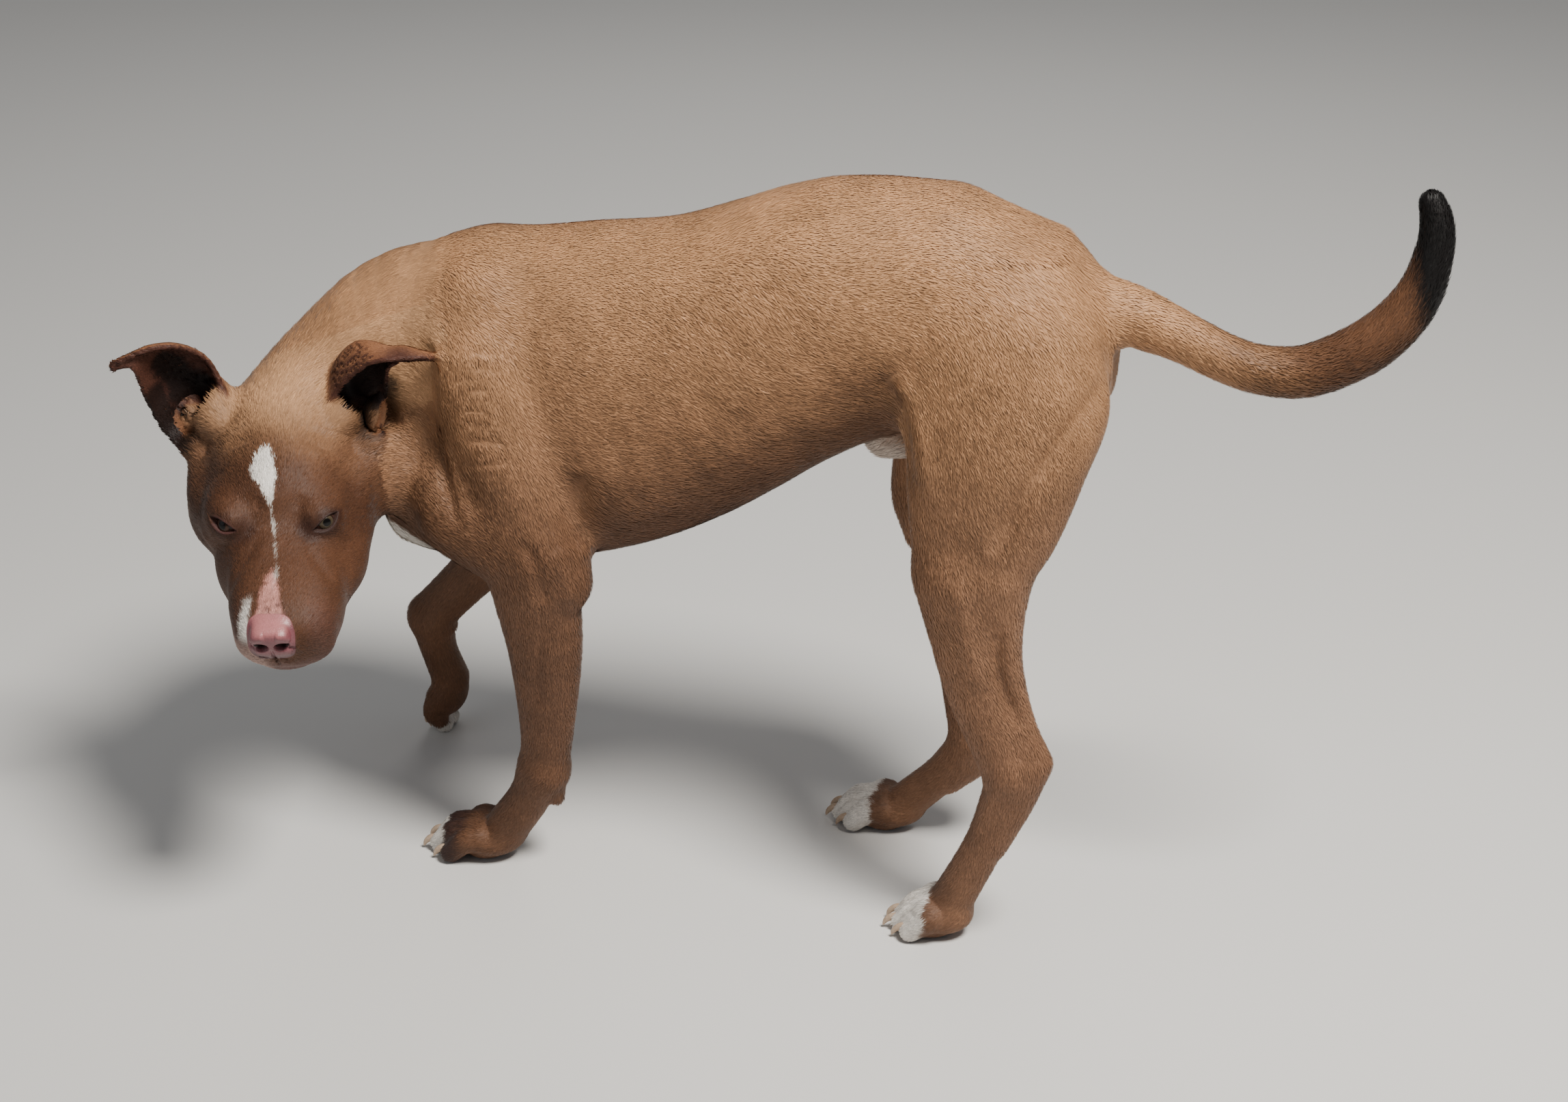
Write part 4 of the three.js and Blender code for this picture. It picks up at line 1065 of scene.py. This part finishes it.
def markings(points, normals, region):
    """The colour of skin and coat at each point, with painted light and shade laid over it."""
    x, y, z = head_local(points).T
    place, aside, height = points.T
    face = (region == HEAD_PART) * 1.0
    tone = np.tile(FLANK, (len(points), 1))

    def lay(over, amount):
        tone[:] = paint(tone, over, amount)

    def drift(scale, seed):
        return wander(points, scale, seed)

    # Lighter along the back: partly the coat's own tone, partly painted light from above.
    high = smooth_step(height + 12 * drift(90, 1), 300, 560)
    lay(BACK, high)
    low = smooth_step(height + 14 * drift(70, 2), 330, 150)
    lay(LOW_LEG, low)
    # Painted shade on the lower faces of the neck and trunk.
    under = smooth_step(-normals[:, 2] + 0.1 * drift(60, 21), -0.2, 0.6)
    lay(PAINTED_SHADE, 0.75 * under * np.isin(region, [NECK, NECK + 1]))
    # Painted shade on the forelegs below the chest.
    forelegs = np.isin(region, [TAIL_PART + 1, TAIL_PART + 2])
    lay(PAINTED_SHADE, 0.6 * forelegs * smooth_step(height, 400, 290))
    # The face darker: partly its own tone, partly painted shade.
    near_head = smooth_step(x + 8 * drift(30, 3), -125, -10) * (np.abs(y) < 110)
    lay(FACE, near_head * (region <= NECK))
    # Painted shade on the neck behind the cheek, under the head.
    behind = smooth_step(x + 6 * drift(40, 22), -180, -125) * smooth_step(y, 12, 44)
    lay(PAINTED_SHADE, 0.75 * behind * smooth_step(z, 60, 10) * (region == NECK))
    # Painted light: the top of the head lighter, as lit from above.
    crown = smooth_step(x + 6 * drift(26, 18), -30, -95) * smooth_step(z, 12, 44)
    lay(CROWN, crown * 0.7 * (x > -140) * np.isin(region, [HEAD_PART, NECK]))
    # Painted shade on the sides of the cheeks.
    cheek = smooth_step(np.abs(y - 4), 36, 60) * smooth_step(x, 30, -30) * face
    lay(EYE_SHADE, cheek * 0.3)
    # Darker round each eye: partly dark hair round the lids, partly painted shade in the lid crease
    # and inner corner, stronger round the left eye.
    for side, eye in EYES.items():
        s, reach = inside_opening(eye, points)
        inner = eye["centre"] + eye["axes"] @ np.array([-13.0, -1.0, 4.0])
        corner = smooth_step(lengths(points - inner), 15, 5)
        shade = smooth_step(s + 1.2 * drift(9, 14), -8, -1.5)
        shade = shade * smooth_step(reach, EYE_RADIUS + 9, EYE_RADIUS + 3)
        shade = np.maximum(0.85 * shade, corner)
        lay(EYE_SHADE, shade * face * (0.95 if side > 0 else 0.75))
    lips = smooth_step(z + 2 * drift(14, 5), -30, -50) * smooth_step(x, 20, 60) * face
    lay(LIPS, 0.9 * lips)
    for side in (1, -1):
        line = on_head(np.array(LIP) * [1, side, 1] + [0, 6 - 6 * side, 0])
        gap = line_distance(points, line)[0]
        lay(LIP_LINE_AND_SHADE, smooth_step(gap, 3.2, 1.4) * face)
    sides = smooth_step(x, 60, 92) * smooth_step(np.abs(y - 6), 16, 30) * face
    lay(LIPS, 0.35 * sides)
    # The blaze: a diamond on the brow that runs down to a thin line, and a pink patch.
    top = (z > -6) * face
    ragged = 1.0 * drift(7, 6)
    middle = np.interp(x, [-50, -22, -3, 20, 52, 80], [-4, -6.5, -1, 1.5, 5, 2])
    widths_at = [-43, -40, -34, -26, -18, -10, -3, 2, 50, 56, 70]
    half = np.interp(x, widths_at, [0, 4, 7.5, 9.3, 9, 5.5, 2.2, 0.5, 0.3, 2, 0])
    blaze = smooth_step(half + ragged - np.abs(y - middle), -1.0, 1.2) * (half > 0.05) * top
    lay(WHITE, blaze * np.interp(x, [-10, 5, 50], [1, 0.6, 0.5]))
    patch_half = np.interp(x, [50, 58, 70, 84, 96], [0, 3, 6, 8.5, 12])
    patch = smooth_step(patch_half + 1.6 * ragged - np.abs(y - 1), -3.0, 2.0) * (x > 50) * top
    lay(PINK, patch * (0.66 + 0.25 * drift(5, 17)))
    spots = smooth_step(drift(6, 8), 0.5, 0.85) * patch
    lay(LIPS, 0.8 * spots)
    white_side = smooth_step(2.8 + 1.2 * ragged - np.abs(y + 17.5 + 0.12 * (x - 84)), -3, 1.5)
    white_side *= smooth_step(x + 3 * ragged, 70, 84) * smooth_step(z, -26, -14) * face
    lay(WHITE, 0.95 * white_side)
    pale_lip = smooth_step(y, 2, -8) * smooth_step(z, -14, -30) * smooth_step(x, 66, 84) * face
    lay(colour(190, 160, 150), 0.6 * pale_lip)
    # Body.
    chest = lengths((points - [-306, -26, 274]) / [30, 34, 24])
    lay(WHITE, smooth_step(chest + 0.1 * drift(12, 9), 1.05, 0.85))
    sheath = smooth_step(place, 116, 92) * smooth_step(place, 50, 70)
    sheath *= (np.abs(aside) < 24) * smooth_step(height, 402, 388)
    lay(colour(206, 192, 180), 0.8 * sheath)
    along_tail = (region == TAIL_PART) * smooth_step(place + 8 * drift(40, 10), 275, 405)
    lay(TAIL_MIDDLE, 0.9 * along_tail)
    # The tail's dark tip: dark hair, reaching further down the outer side of the curl as painted
    # shade.
    end = height + 4 * (place - 447) + 5 * drift(30, 15)
    lay(TAIL_END, smooth_step(end, 520, 590) * (region == TAIL_PART))
    # Both bodies list their feet, so each foot is laid twice and its edges come out firm.
    for name, middle, axes, reach, _ in feet:
        q = (points - middle) @ axes
        mine = (region == REGIONS.index(name)) * (lengths(q) < 90)
        edge = q[:, 0] + 3 * drift(12, 11)
        start = {"foreL": 0.66, "foreR": 0.66, "hindL": 0.02, "hindR": 0.12}[name] * reach
        dark = smooth_step(edge, start - 26, start - 6) * (0.0 if name == "foreR" else 0.75)
        lay(DARK_TOE, dark * mine * (name == "foreL" or 0.25))
        lay(WHITE, smooth_step(edge, start - 3, start + 3) * mine)
        pads = mine * smooth_step(height, FLOOR + 5.0, FLOOR + 2.0)
        pads = pads * smooth_step(-normals[:, 2], 0.5, 0.8)
        lay(PAD, pads)
    on_ear, hollow = ear_side(points, normals)
    lay(EAR_BACK, on_ear)
    # The ear's inside darker: partly its own tone, partly painted shade in the hollow.
    lay(EAR_INSIDE, hollow * 0.95)
    # Painted shade deep in each ear, along its rear edge.
    for side in (1, -1):
        front, middle, rear = np.array(EARS[side], float)[:3].transpose(1, 0, 2)
        opening = HEAD @ unit((0.5 * (front + rear) - middle)[1])
        gap, _ = line_distance(points, on_head(rear + 0.2 * (middle - rear)))
        fold_shade = smooth_step(gap + drift(12, 23), 17, 9)
        fold_shade *= smooth_step(normals @ opening, -0.45, 0.0)
        lay(EAR_HOLLOW_SHADE, 0.88 * fold_shade)
    # Painted shade in the hollows of the ears, darkest deepest in.
    air = hollow_distance(points, normals)
    lay(EAR_INSIDE, smooth_step(air, 4.5, 1.5))
    lay(EAR_HOLLOW_SHADE, 0.92 * smooth_step(air + 2 * drift(12, 16), 6.5, 0.5))
    # Rims of the lids, and painted shade inside the opening, where the lids meet the eyeball.
    for side, eye in EYES.items():
        s, reach = inside_opening(eye, points)
        rim = smooth_step(s, -1.8, -0.6) * (reach < EYE_RADIUS + 4)
        lay(RIM if side < 0 else DARK_RIM, rim)
        lay(EYE_SHADE, smooth_step(s, 0.3, 0.8) * (reach < EYE_RADIUS + 2))
    nose = leather(points)
    lay(NOSE_LEATHER, nose)
    # Painted light on the top of the leather, painted shade along its bottom.
    lay(NOSE_TOP, nose * smooth_step(z, -6, -1))
    lay(LIP_LINE_AND_SHADE, 0.6 * nose * smooth_step(z, -21, -30))
    # Painted shade inside the nostrils.
    lay(colour(40, 20, 20), smooth_step(bores(points), 1.5, 3.5))
    tone *= (1 + 0.07 * drift(45, 12) + 0.05 * drift(16, 13))[:, None]
    return np.clip(tone, 0.002, 0.95)


tint = markings(points, normals, region_of(points))


def lie_of_coat(points, normals):
    way = np.empty_like(points)
    for start in range(0, len(points), 60000):
        part = slice(start, start + 60000)
        way[part] = flesh.lie(points[part])
    swirl = 0.28 * wander(points, 120, 20)
    side = np.cross(normals, way)
    way = way + side * swirl[:, None]
    way -= normals * (way * normals).sum(1)[:, None]
    return rows_unit(way)


# --- materials ---------------------------------------------------------------------------
class Nodes:
    """A material and short ways to add nodes to it."""

    def __init__(self, name, **inputs):
        self.material = bpy.data.materials.new(name)
        self.material.use_nodes = True
        self.tree = self.material.node_tree
        self.shader = self.tree.nodes["Principled BSDF"]
        for key, value in inputs.items():
            self.shader.inputs[key.replace("_", " ")].default_value = value

    def add(self, kind, _props=None, **inputs):
        node = self.tree.nodes.new("ShaderNode" + kind)
        for key, value in (_props or {}).items():
            setattr(node, key, value)
        for key, value in inputs.items():
            socket = node.inputs[key.replace("_", " ")]
            if hasattr(value, "links"):
                self.tree.links.new(value, socket)
            else:
                socket.default_value = value
        return node

    def link(self, source, target):
        self.tree.links.new(source, self.shader.inputs[target])


def tinted(nodes, patch_scale, fine_scale, fine_amount):
    """The markings with broad patches and a fine grain over them."""
    base = nodes.add("Attribute", {"attribute_name": "tint"}).outputs["Color"]
    where = nodes.add("TexCoord").outputs["Object"]
    graded = []
    for scale, detail, amount in ((patch_scale, 3.0, 0.10), (fine_scale, 2.0, fine_amount)):
        noise = nodes.add("TexNoise", Vector=where, Scale=scale, Detail=detail)
        graded.append(nodes.add(
            "MapRange", Value=noise.outputs["Fac"],
            From_Min=0.3, From_Max=0.7, To_Min=1 - amount, To_Max=1 + amount,
        ))
    both = nodes.add("Math", {"operation": "MULTIPLY"})
    for grade, socket in zip(graded, both.inputs):
        nodes.tree.links.new(grade.outputs[0], socket)
    mixed = nodes.add("VectorMath", {"operation": "SCALE"})
    nodes.tree.links.new(base, mixed.inputs[0])
    nodes.tree.links.new(both.outputs[0], mixed.inputs["Scale"])
    nodes.link(mixed.outputs[0], "Base Color")
    return where, noise


def bumped(nodes, height, distance, strength=0.6):
    bump = nodes.add("Bump", Height=height, Distance=distance, Strength=strength)
    nodes.link(bump.outputs[0], "Normal")


hair_look = Nodes(
    "short coat", Roughness=0.55, Specular_IOR_Level=0.22, Sheen_Weight=0.04, Sheen_Roughness=0.4
)
tinted(hair_look, 28.0, 500.0, 0.10)
skin_look = Nodes("skin under the coat", Roughness=0.62, Specular_IOR_Level=0.3)
_, grain = tinted(skin_look, 28.0, 900.0, 0.16)
bumped(skin_look, grain.outputs["Fac"], 0.0006)
nose_look = Nodes(
    "nose leather", Roughness=0.42, Specular_IOR_Level=0.45, Coat_Weight=0.12, Coat_Roughness=0.25
)
where, _ = tinted(nose_look, 90.0, 600.0, 0.08)
pebbles = nose_look.add("TexVoronoi", Vector=where, Scale=850.0)
bumped(nose_look, pebbles.outputs["Distance"], -0.0004, 0.35)


SKIN_TONE = 0.92  # the skin's colours are those of the hair over it, times this


def put_tint(mesh, tint):
    layer = mesh.attributes.new("tint", "FLOAT_COLOR", "POINT")
    tint = np.concatenate([tint, np.ones((len(tint), 1))], 1)
    layer.data.foreach_set("color", tint.astype(np.float32).ravel())


def finish_piece(name, mesh, look, slot, *nodes):
    piece = bpy.data.objects.new(name, mesh)
    bpy.context.collection.objects.link(piece)
    mesh.materials.append(look.material)
    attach(piece, "root")
    if nodes:
        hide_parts(*nodes)
    return piece


# Skin and nose are one surface, parted along the edge of the leather.
put_tint(skin_mesh, tint * SKIN_TONE)
move(skin_mesh, to_scene(points))
bare = leather(points) > 0.5
nose_mesh = skin_mesh.copy()
nose_mesh.name = "nose"
for mesh, keep_bare in ((skin_mesh, False), (nose_mesh, True)):
    with edited(mesh) as bm:
        unwanted = [f for f in bm.faces if all(bare[v.index] for v in f.verts) != keep_bare]
        bmesh.ops.delete(bm, geom=unwanted, context="FACES")
    mesh.shade_smooth()
    mesh.update()
flesh_nodes = [
    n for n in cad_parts
    if not n.startswith(("claw", "eye", "nose"))
]
finish_piece("skin", skin_mesh, skin_look, "coat", *flesh_nodes)
finish_piece("nose_leather", nose_mesh, nose_look, "nose_leather", "nose")


# --- the coat ----------------------------------------------------------------------------
COATS = (  # in the order of REGIONS: a name, and the length and width of a tuft in millimetres
    ("head", 5.0, 0.68), ("ears", 2.8, 0.6), ("neck", 6.6, 0.78), ("trunk", 6.6, 0.78),
    ("tail", 6.5, 0.9), ("foreleg_left", 5.6, 0.8), ("foreleg_right", 5.6, 0.8),
    ("hindleg_left", 6.0, 0.82), ("hindleg_right", 6.0, 0.82),
)
COVER = 1.9
PATCH = 0.003  # the size of a tuft on the unwrap
LIMIT = 60000  # tufts in one piece


def hair_size(points, region):
    length, width = np.array([size for _, *size in COATS])[region].T
    x, height = head_local(points)[:, 0], points[:, 2]
    upper = np.isin(region, [HEAD_PART, NECK])
    onto_head = smooth_step(x, -150, -50)
    length = np.where(upper, 6.6 - 1.6 * onto_head, length)
    width = np.where(upper, 0.78 - 0.10 * onto_head, width)
    rear = smooth_step(points[:, 0], 215, 238) * smooth_step(height, 515, 495)
    short = np.max([
        smooth_step(x, -70, 30) * (region == HEAD_PART),
        smooth_step(height, 110, 30) * 0.9,
        smooth_step(height, 585, 606) * (region == TAIL_PART),
        rear * (region != TAIL_PART),
        smooth_step(height, 300, 150) * 0.35 * (region > TAIL_PART),
    ], 0)
    return length * (1 - 0.42 * short), width * (1 - 0.36 * short)


skin_mesh.calc_loop_triangles()
triangles = read(skin_mesh.loop_triangles, "vertices", 3, np.int32)
kept_points = arrays_of(skin_mesh) * 1000 + CENTRE
kept_normals = normals_of(skin_mesh)
kept_tint = read(skin_mesh.attributes["tint"].data, "color", 4)[:, :3].astype(float) / SKIN_TONE
kept_region = region_of(kept_points)
kept_lie = lie_of_coat(kept_points, kept_normals)
length, width = hair_size(kept_points, kept_region)
bald = np.zeros(len(kept_points))
for eye in EYES.values():
    s, reach = inside_opening(eye, kept_points)
    bald = np.maximum(bald, (s > -1.0) * (reach < EYE_RADIUS + 4))
bald = np.maximum(bald, leather(kept_points) > 0.25)
bald = np.maximum(bald, (kept_points[:, 2] < FLOOR + 3.0) & (kept_normals[:, 2] < -0.6))
a, b, c = (kept_points[triangles[:, i]] for i in range(3))
area = 0.5 * lengths(np.cross(b - a, c - a))
wanted = COVER * area / (length * width)[triangles].mean(1)
wanted *= 1 - (bald[triangles].max(1) > 0.5)
number = np.floor(wanted + rng.random(len(wanted))).astype(int)
face = np.repeat(np.arange(len(triangles)), number)
weights = rng.random((len(face), 2))
over = weights.sum(1) > 1
weights[over] = 1 - weights[over]
weights = np.concatenate([1 - weights.sum(1, keepdims=True), weights], 1)


def spread_over(values):
    return (values[triangles[face]] * (weights if values.ndim == 1 else weights[..., None])).sum(1)


root = spread_over(kept_points)
out = rows_unit(spread_over(kept_normals))
way = spread_over(kept_lie)
corner = triangles[face, rng.integers(0, 3, len(face))]
hair_tint = kept_tint[corner]
hair_length, hair_width = spread_over(length), spread_over(width)
hair_region = kept_region[triangles[face, 0]]
turn = rng.normal(0, 0.16, len(face))
side = np.cross(out, way)
way = rows_unit(way + side * turn[:, None])
way = rows_unit(way - out * (way * out).sum(1)[:, None])
side = np.cross(out, way)
hair_length = hair_length * rng.uniform(0.7, 1.25, len(face))
hair_width = hair_width * rng.uniform(0.75, 1.2, len(face))
depth = coat_depth(root)
lift = depth * rng.uniform(0.5, 0.9, len(face))
brightness = np.clip(rng.normal(1.0, 0.11, len(face)), 0.65, 1.35)
bend = rng.normal(0, 0.06, len(face)) * hair_length


def blade_row(along, half, height, sideways=0.0):
    """The two ends of one cross-section of every tuft."""
    middle = root + way * (along * hair_length)[:, None] + out * height[:, None]
    middle = middle + side * (sideways * bend)[:, None]
    wide = side * (half * hair_width)[:, None]
    return middle - wide, middle + wide


first = blade_row(0.0, 0.45, -0.15 * depth)
middle_pair = blade_row(0.5, 0.5, 0.62 * lift, 0.3)
tip = 0.5 * sum(blade_row(1.0, 0.0, lift, 1.0))
shape = np.stack([*first, *middle_pair, tip], 1)
lean = rng.normal(0, 0.22, len(face))
tilt = out + side * lean[:, None] + way * 0.12
tilt = rows_unit(tilt)
shade = np.array([0.86, 0.86, 0.98, 0.98, 1.08])


def bake_places(points, normals, region):
    """A place on an unwrap of the skin: a cell for each region and facing."""
    facing = np.abs(normals).argmax(1)
    facing = facing * 2 + (np.take_along_axis(normals, facing[:, None], 1)[:, 0] > 0)
    cell = region * 6 + facing
    place = np.zeros((len(points), 2))
    for r in range(len(REGIONS)):
        mine = region == r
        if not mine.any():
            continue
        lo, hi = kept_points[kept_region == r].min(0), kept_points[kept_region == r].max(0)
        span = (hi - lo).max()
        for f in range(6):
            at = mine & (facing == f)
            axes = [i for i in range(3) if i != f // 2]
            place[at] = (points[at][:, axes] - lo[axes]) / span
    column, row = cell % 8, cell // 8
    return (np.stack([column, row], 1) + 0.04 + 0.92 * place) / 8


places = bake_places(root, out, hair_region)
corners = np.array([(-0.5, -0.5), (0.5, -0.5), (-0.5, 0.1), (0.5, 0.1), (0.0, 0.5)]) * PATCH


def coat_piece(name, chosen):
    n = len(chosen)
    vertices = to_scene(shape[chosen].reshape(-1, 3))
    base = np.arange(n)[:, None] * 5
    faces = np.concatenate([base + [0, 3, 1], base + [0, 2, 3], base + [2, 4, 3]], 1)
    mesh = bpy.data.meshes.new(name)
    mesh.vertices.add(5 * n)
    mesh.vertices.foreach_set("co", vertices.astype(np.float32).ravel())
    mesh.loops.add(9 * n)
    mesh.loops.foreach_set("vertex_index", faces.astype(np.int32).ravel())
    mesh.polygons.add(3 * n)
    mesh.polygons.foreach_set("loop_start", np.arange(0, 9 * n, 3, dtype=np.int32))
    mesh.update(calc_edges=True)
    tones = hair_tint[chosen, None] * (brightness[chosen, None] * shade)[..., None]
    put_tint(mesh, np.clip(tones.reshape(-1, 3), 0, 1))
    layer = mesh.uv_layers.new(name="OFBake")
    spots = places[chosen][:, None] + corners
    picked = spots.reshape(-1, 2)[faces.ravel()]
    layer.data.foreach_set("uv", picked.astype(np.float32).ravel())
    mesh.shade_smooth()
    mesh.normals_split_custom_set_from_vertices(np.repeat(tilt[chosen], 5, 0).tolist())
    return finish_piece(name, mesh, hair_look, "dark_coat" if name == "coat_ears" else "coat")


for region, (name, *_) in enumerate(COATS):
    mine = np.nonzero(hair_region == region)[0]
    parts = max(1, math.ceil(len(mine) / LIMIT))
    mine = mine[np.argsort(root[mine, 0], kind="stable")]
    for i, chosen in enumerate(np.array_split(mine, parts)):
        coat_piece(f"coat_{name}" if parts == 1 else f"coat_{name}_{i + 1}", chosen)
    print(name, len(mine), "tufts in", parts)


# --- eyes --------------------------------------------------------------------------------
PUPIL_EDGE, IRIS_EDGE = 0.30, 0.62  # angles from the line of sight


def eye_mesh(name, eye, iris_tone):
    """Rings round the line of sight: a pupil, an iris, and a bulge over both."""
    rings = np.concatenate([
        np.linspace(0.0, IRIS_EDGE, 22), np.linspace(IRIS_EDGE + 0.06, math.pi, 22)
    ])
    around = 48
    bulge = 0.9 * np.exp(-((rings / 0.5) ** 4))
    reach = EYE_RADIUS - 0.15 + bulge
    turn = np.linspace(0, 2 * math.pi, around, endpoint=False)
    vertices = [eye["centre"] + eye["axes"][:, 2] * reach[0]]
    angles = [0.0]
    for angle, r in zip(rings[1:-1], reach[1:-1]):
        for t in turn:
            way = (math.sin(angle) * math.cos(t), math.sin(angle) * math.sin(t), math.cos(angle))
            vertices.append(eye["centre"] + eye["axes"] @ np.array(way) * r)
            angles.append(angle)
    vertices.append(eye["centre"] - eye["axes"][:, 2] * reach[-1])
    angles.append(math.pi)
    faces = [(0, 1 + i, 1 + (i + 1) % around) for i in range(around)]
    count = len(rings) - 2
    for j in range(count - 1):
        for i in range(around):
            p, q = 1 + j * around + i, 1 + j * around + (i + 1) % around
            faces.append((p, p + around, q + around, q))
    last = 1 + count * around
    start = last - around
    faces += [(last, start + (i + 1) % around, start + i) for i in range(around)]
    mesh = mesh_from(name, to_scene(vertices), faces)
    angles = np.array(angles)
    wobble = 1 + 0.16 * np.sin(np.arange(len(angles)) * 2.399)
    pupil = smooth_step(angles, PUPIL_EDGE, PUPIL_EDGE - 0.05)
    iris = smooth_step(angles, IRIS_EDGE, IRIS_EDGE - 0.05)
    rim = smooth_step(angles, 0.48, 0.59) * smooth_step(angles, 0.68, 0.61)
    tones = np.tile(DARK_RIM, (len(angles), 1))
    tones = paint(tones, iris_tone * 0.7, iris)
    tones = paint(tones, iris_tone, iris * smooth_step(angles, 0.28, 0.42) * 0.9 * wobble)
    tones = paint(tones, colour(36, 22, 17), rim)
    tones = paint(tones, colour(8, 6, 6), pupil)
    put_tint(mesh, tones)
    mesh.shade_smooth()
    return mesh


eye_look = Nodes(
    "wet eye", Roughness=0.2, Specular_IOR_Level=0.2, Coat_Weight=0.06, Coat_Roughness=0.02
)
tinted(eye_look, 300.0, 1800.0, 0.14)
for side, eye in EYES.items():
    name = "eye_left" if side > 0 else "eye_right"
    iris_tone = colour(72, 62, 49) if side > 0 else colour(60, 38, 27)
    finish_piece(f"{name}_ball", eye_mesh(f"{name}_ball", eye, iris_tone), eye_look, "eye", name)

# --- claws -------------------------------------------------------------------------------
claw_look = Nodes("pale horn", Roughness=0.38, Specular_IOR_Level=0.5)
where = claw_look.add("TexCoord").outputs["Object"]
streaks = claw_look.add("TexNoise", Vector=where, Scale=420.0, Detail=3.0)
ramp = claw_look.add("ValToRGB", Fac=streaks.outputs["Fac"])
ramp.color_ramp.elements[0].color = (*colour(150, 120, 96), 1)
ramp.color_ramp.elements[1].color = (*colour(206, 184, 160), 1)
claw_look.link(ramp.outputs["Color"], "Base Color")
bumped(claw_look, streaks.outputs["Fac"], 0.0002)


def claw_mesh(name, path):
    """A curved claw round a path, deeper than it is wide, drawn to a blunt tip."""
    path = smooth_curve(path, np.linspace(0, len(path) - 1, 13))
    around = 12
    t = np.linspace(0, 1, len(path))
    radius = 3.1 * (1 - t**1.7) ** 0.75 + 0.35
    vertices, faces = [], []
    overall = unit(path[-1] - path[0])
    reference = np.array([1.0, 0, 0]) if abs(overall[2]) > 0.8 else np.array([0, 0, 1.0])
    for i, p in enumerate(path):
        along = unit(path[min(i + 1, len(path) - 1)] - path[max(i - 1, 0)])
        side = unit(np.cross(along, reference))
        rise = np.cross(side, along)
        for k in range(around):
            turn = 2 * math.pi * k / around
            vertices.append(p + radius[i] * (0.72 * math.cos(turn) * side + math.sin(turn) * rise))
    for i in range(len(path) - 1):
        for k in range(around):
            p, q = i * around + k, i * around + (k + 1) % around
            faces.append((p, q, q + around, p + around))
    faces.append(tuple(range(around))[::-1])
    faces.append(tuple(range(len(vertices) - around, len(vertices))))
    mesh = mesh_from(name, to_scene(vertices), faces)
    with edited(mesh) as bm:
        bmesh.ops.recalc_face_normals(bm, faces=bm.faces)
    mesh.shade_smooth()
    return mesh


CAD_FOOT = {"foreL": "fore_left", "foreR": "fore_right", "hindL": "hind_left", "hindR": "hind_right"}
for name, middle, axes, reach, half in feet[:len(CAD_FOOT)]:
    for i in range(4):
        if name == "foreR":
            y, x = HANGING_TOES[i]
            path = [(x - 12, y, 9), (x - 7, y, 12.5), (x - 3, y, 14), (x + 0.5, y, 14)]
        else:
            y, x = TOES[i][0] * half, TOES[i][1] * reach
            path = [(x - 9, 1, 12.5), (x - 2, 1.02, 11.5), (x + 3, 1.03, 7.5), (x + 5.5, 1.03, 2.5)]
            path = np.array(path) * (1, y, 1)
        piece = f"claw_{CAD_FOOT[name]}_{i + 1}"
        mesh = claw_mesh(f"{piece}_horn", [middle + axes @ np.array(p) for p in path])
        finish_piece(f"{piece}_horn", mesh, claw_look, "claw", piece)

# --- floor and light ------------------------------------------------------------------------
floor_mesh = mesh_from(
    "floor", np.array([(-4, -4, 0), (4, -4, 0), (4, 4, 0), (-4, 4, 0)], float), [(0, 1, 2, 3)]
)
floor = bpy.data.objects.new("floor", floor_mesh)
bpy.context.collection.objects.link(floor)
floor_look = Nodes("pale floor", Roughness=0.7, Base_Color=(0.72, 0.71, 0.69, 1))
floor_mesh.materials.append(floor_look.material)


def soft_light(name, place, aim, width, power, warmth):
    light = bpy.data.lights.new(name, "AREA")
    light.shape = "DISK"
    light.size = width
    light.energy = power
    light.color = warmth
    lamp = bpy.data.objects.new(name, light)
    bpy.context.collection.objects.link(lamp)
    lamp.location = place
    way = Vector(aim) - Vector(place)
    lamp.rotation_euler = way.to_track_quat("-Z", "Y").to_euler()


soft_light("key", (1.1, -0.7, 2.5), (0, 0, 0.3), 0.8, 122, (1.0, 0.96, 0.90))
soft_light("fill", (-2.2, -2.2, 1.2), (0, 0, 0.3), 2.4, 8, (0.95, 0.97, 1.0))
soft_light("rim", (-0.6, 2.4, 2.0), (0, 0, 0.35), 1.6, 9, (1.0, 0.98, 0.95))
world = bpy.data.worlds.new("studio")
bpy.context.scene.world = world
world.use_nodes = True
world.node_tree.nodes["Background"].inputs["Color"].default_value = (0.92, 0.94, 0.97, 1)
world.node_tree.nodes["Background"].inputs["Strength"].default_value = 0.2
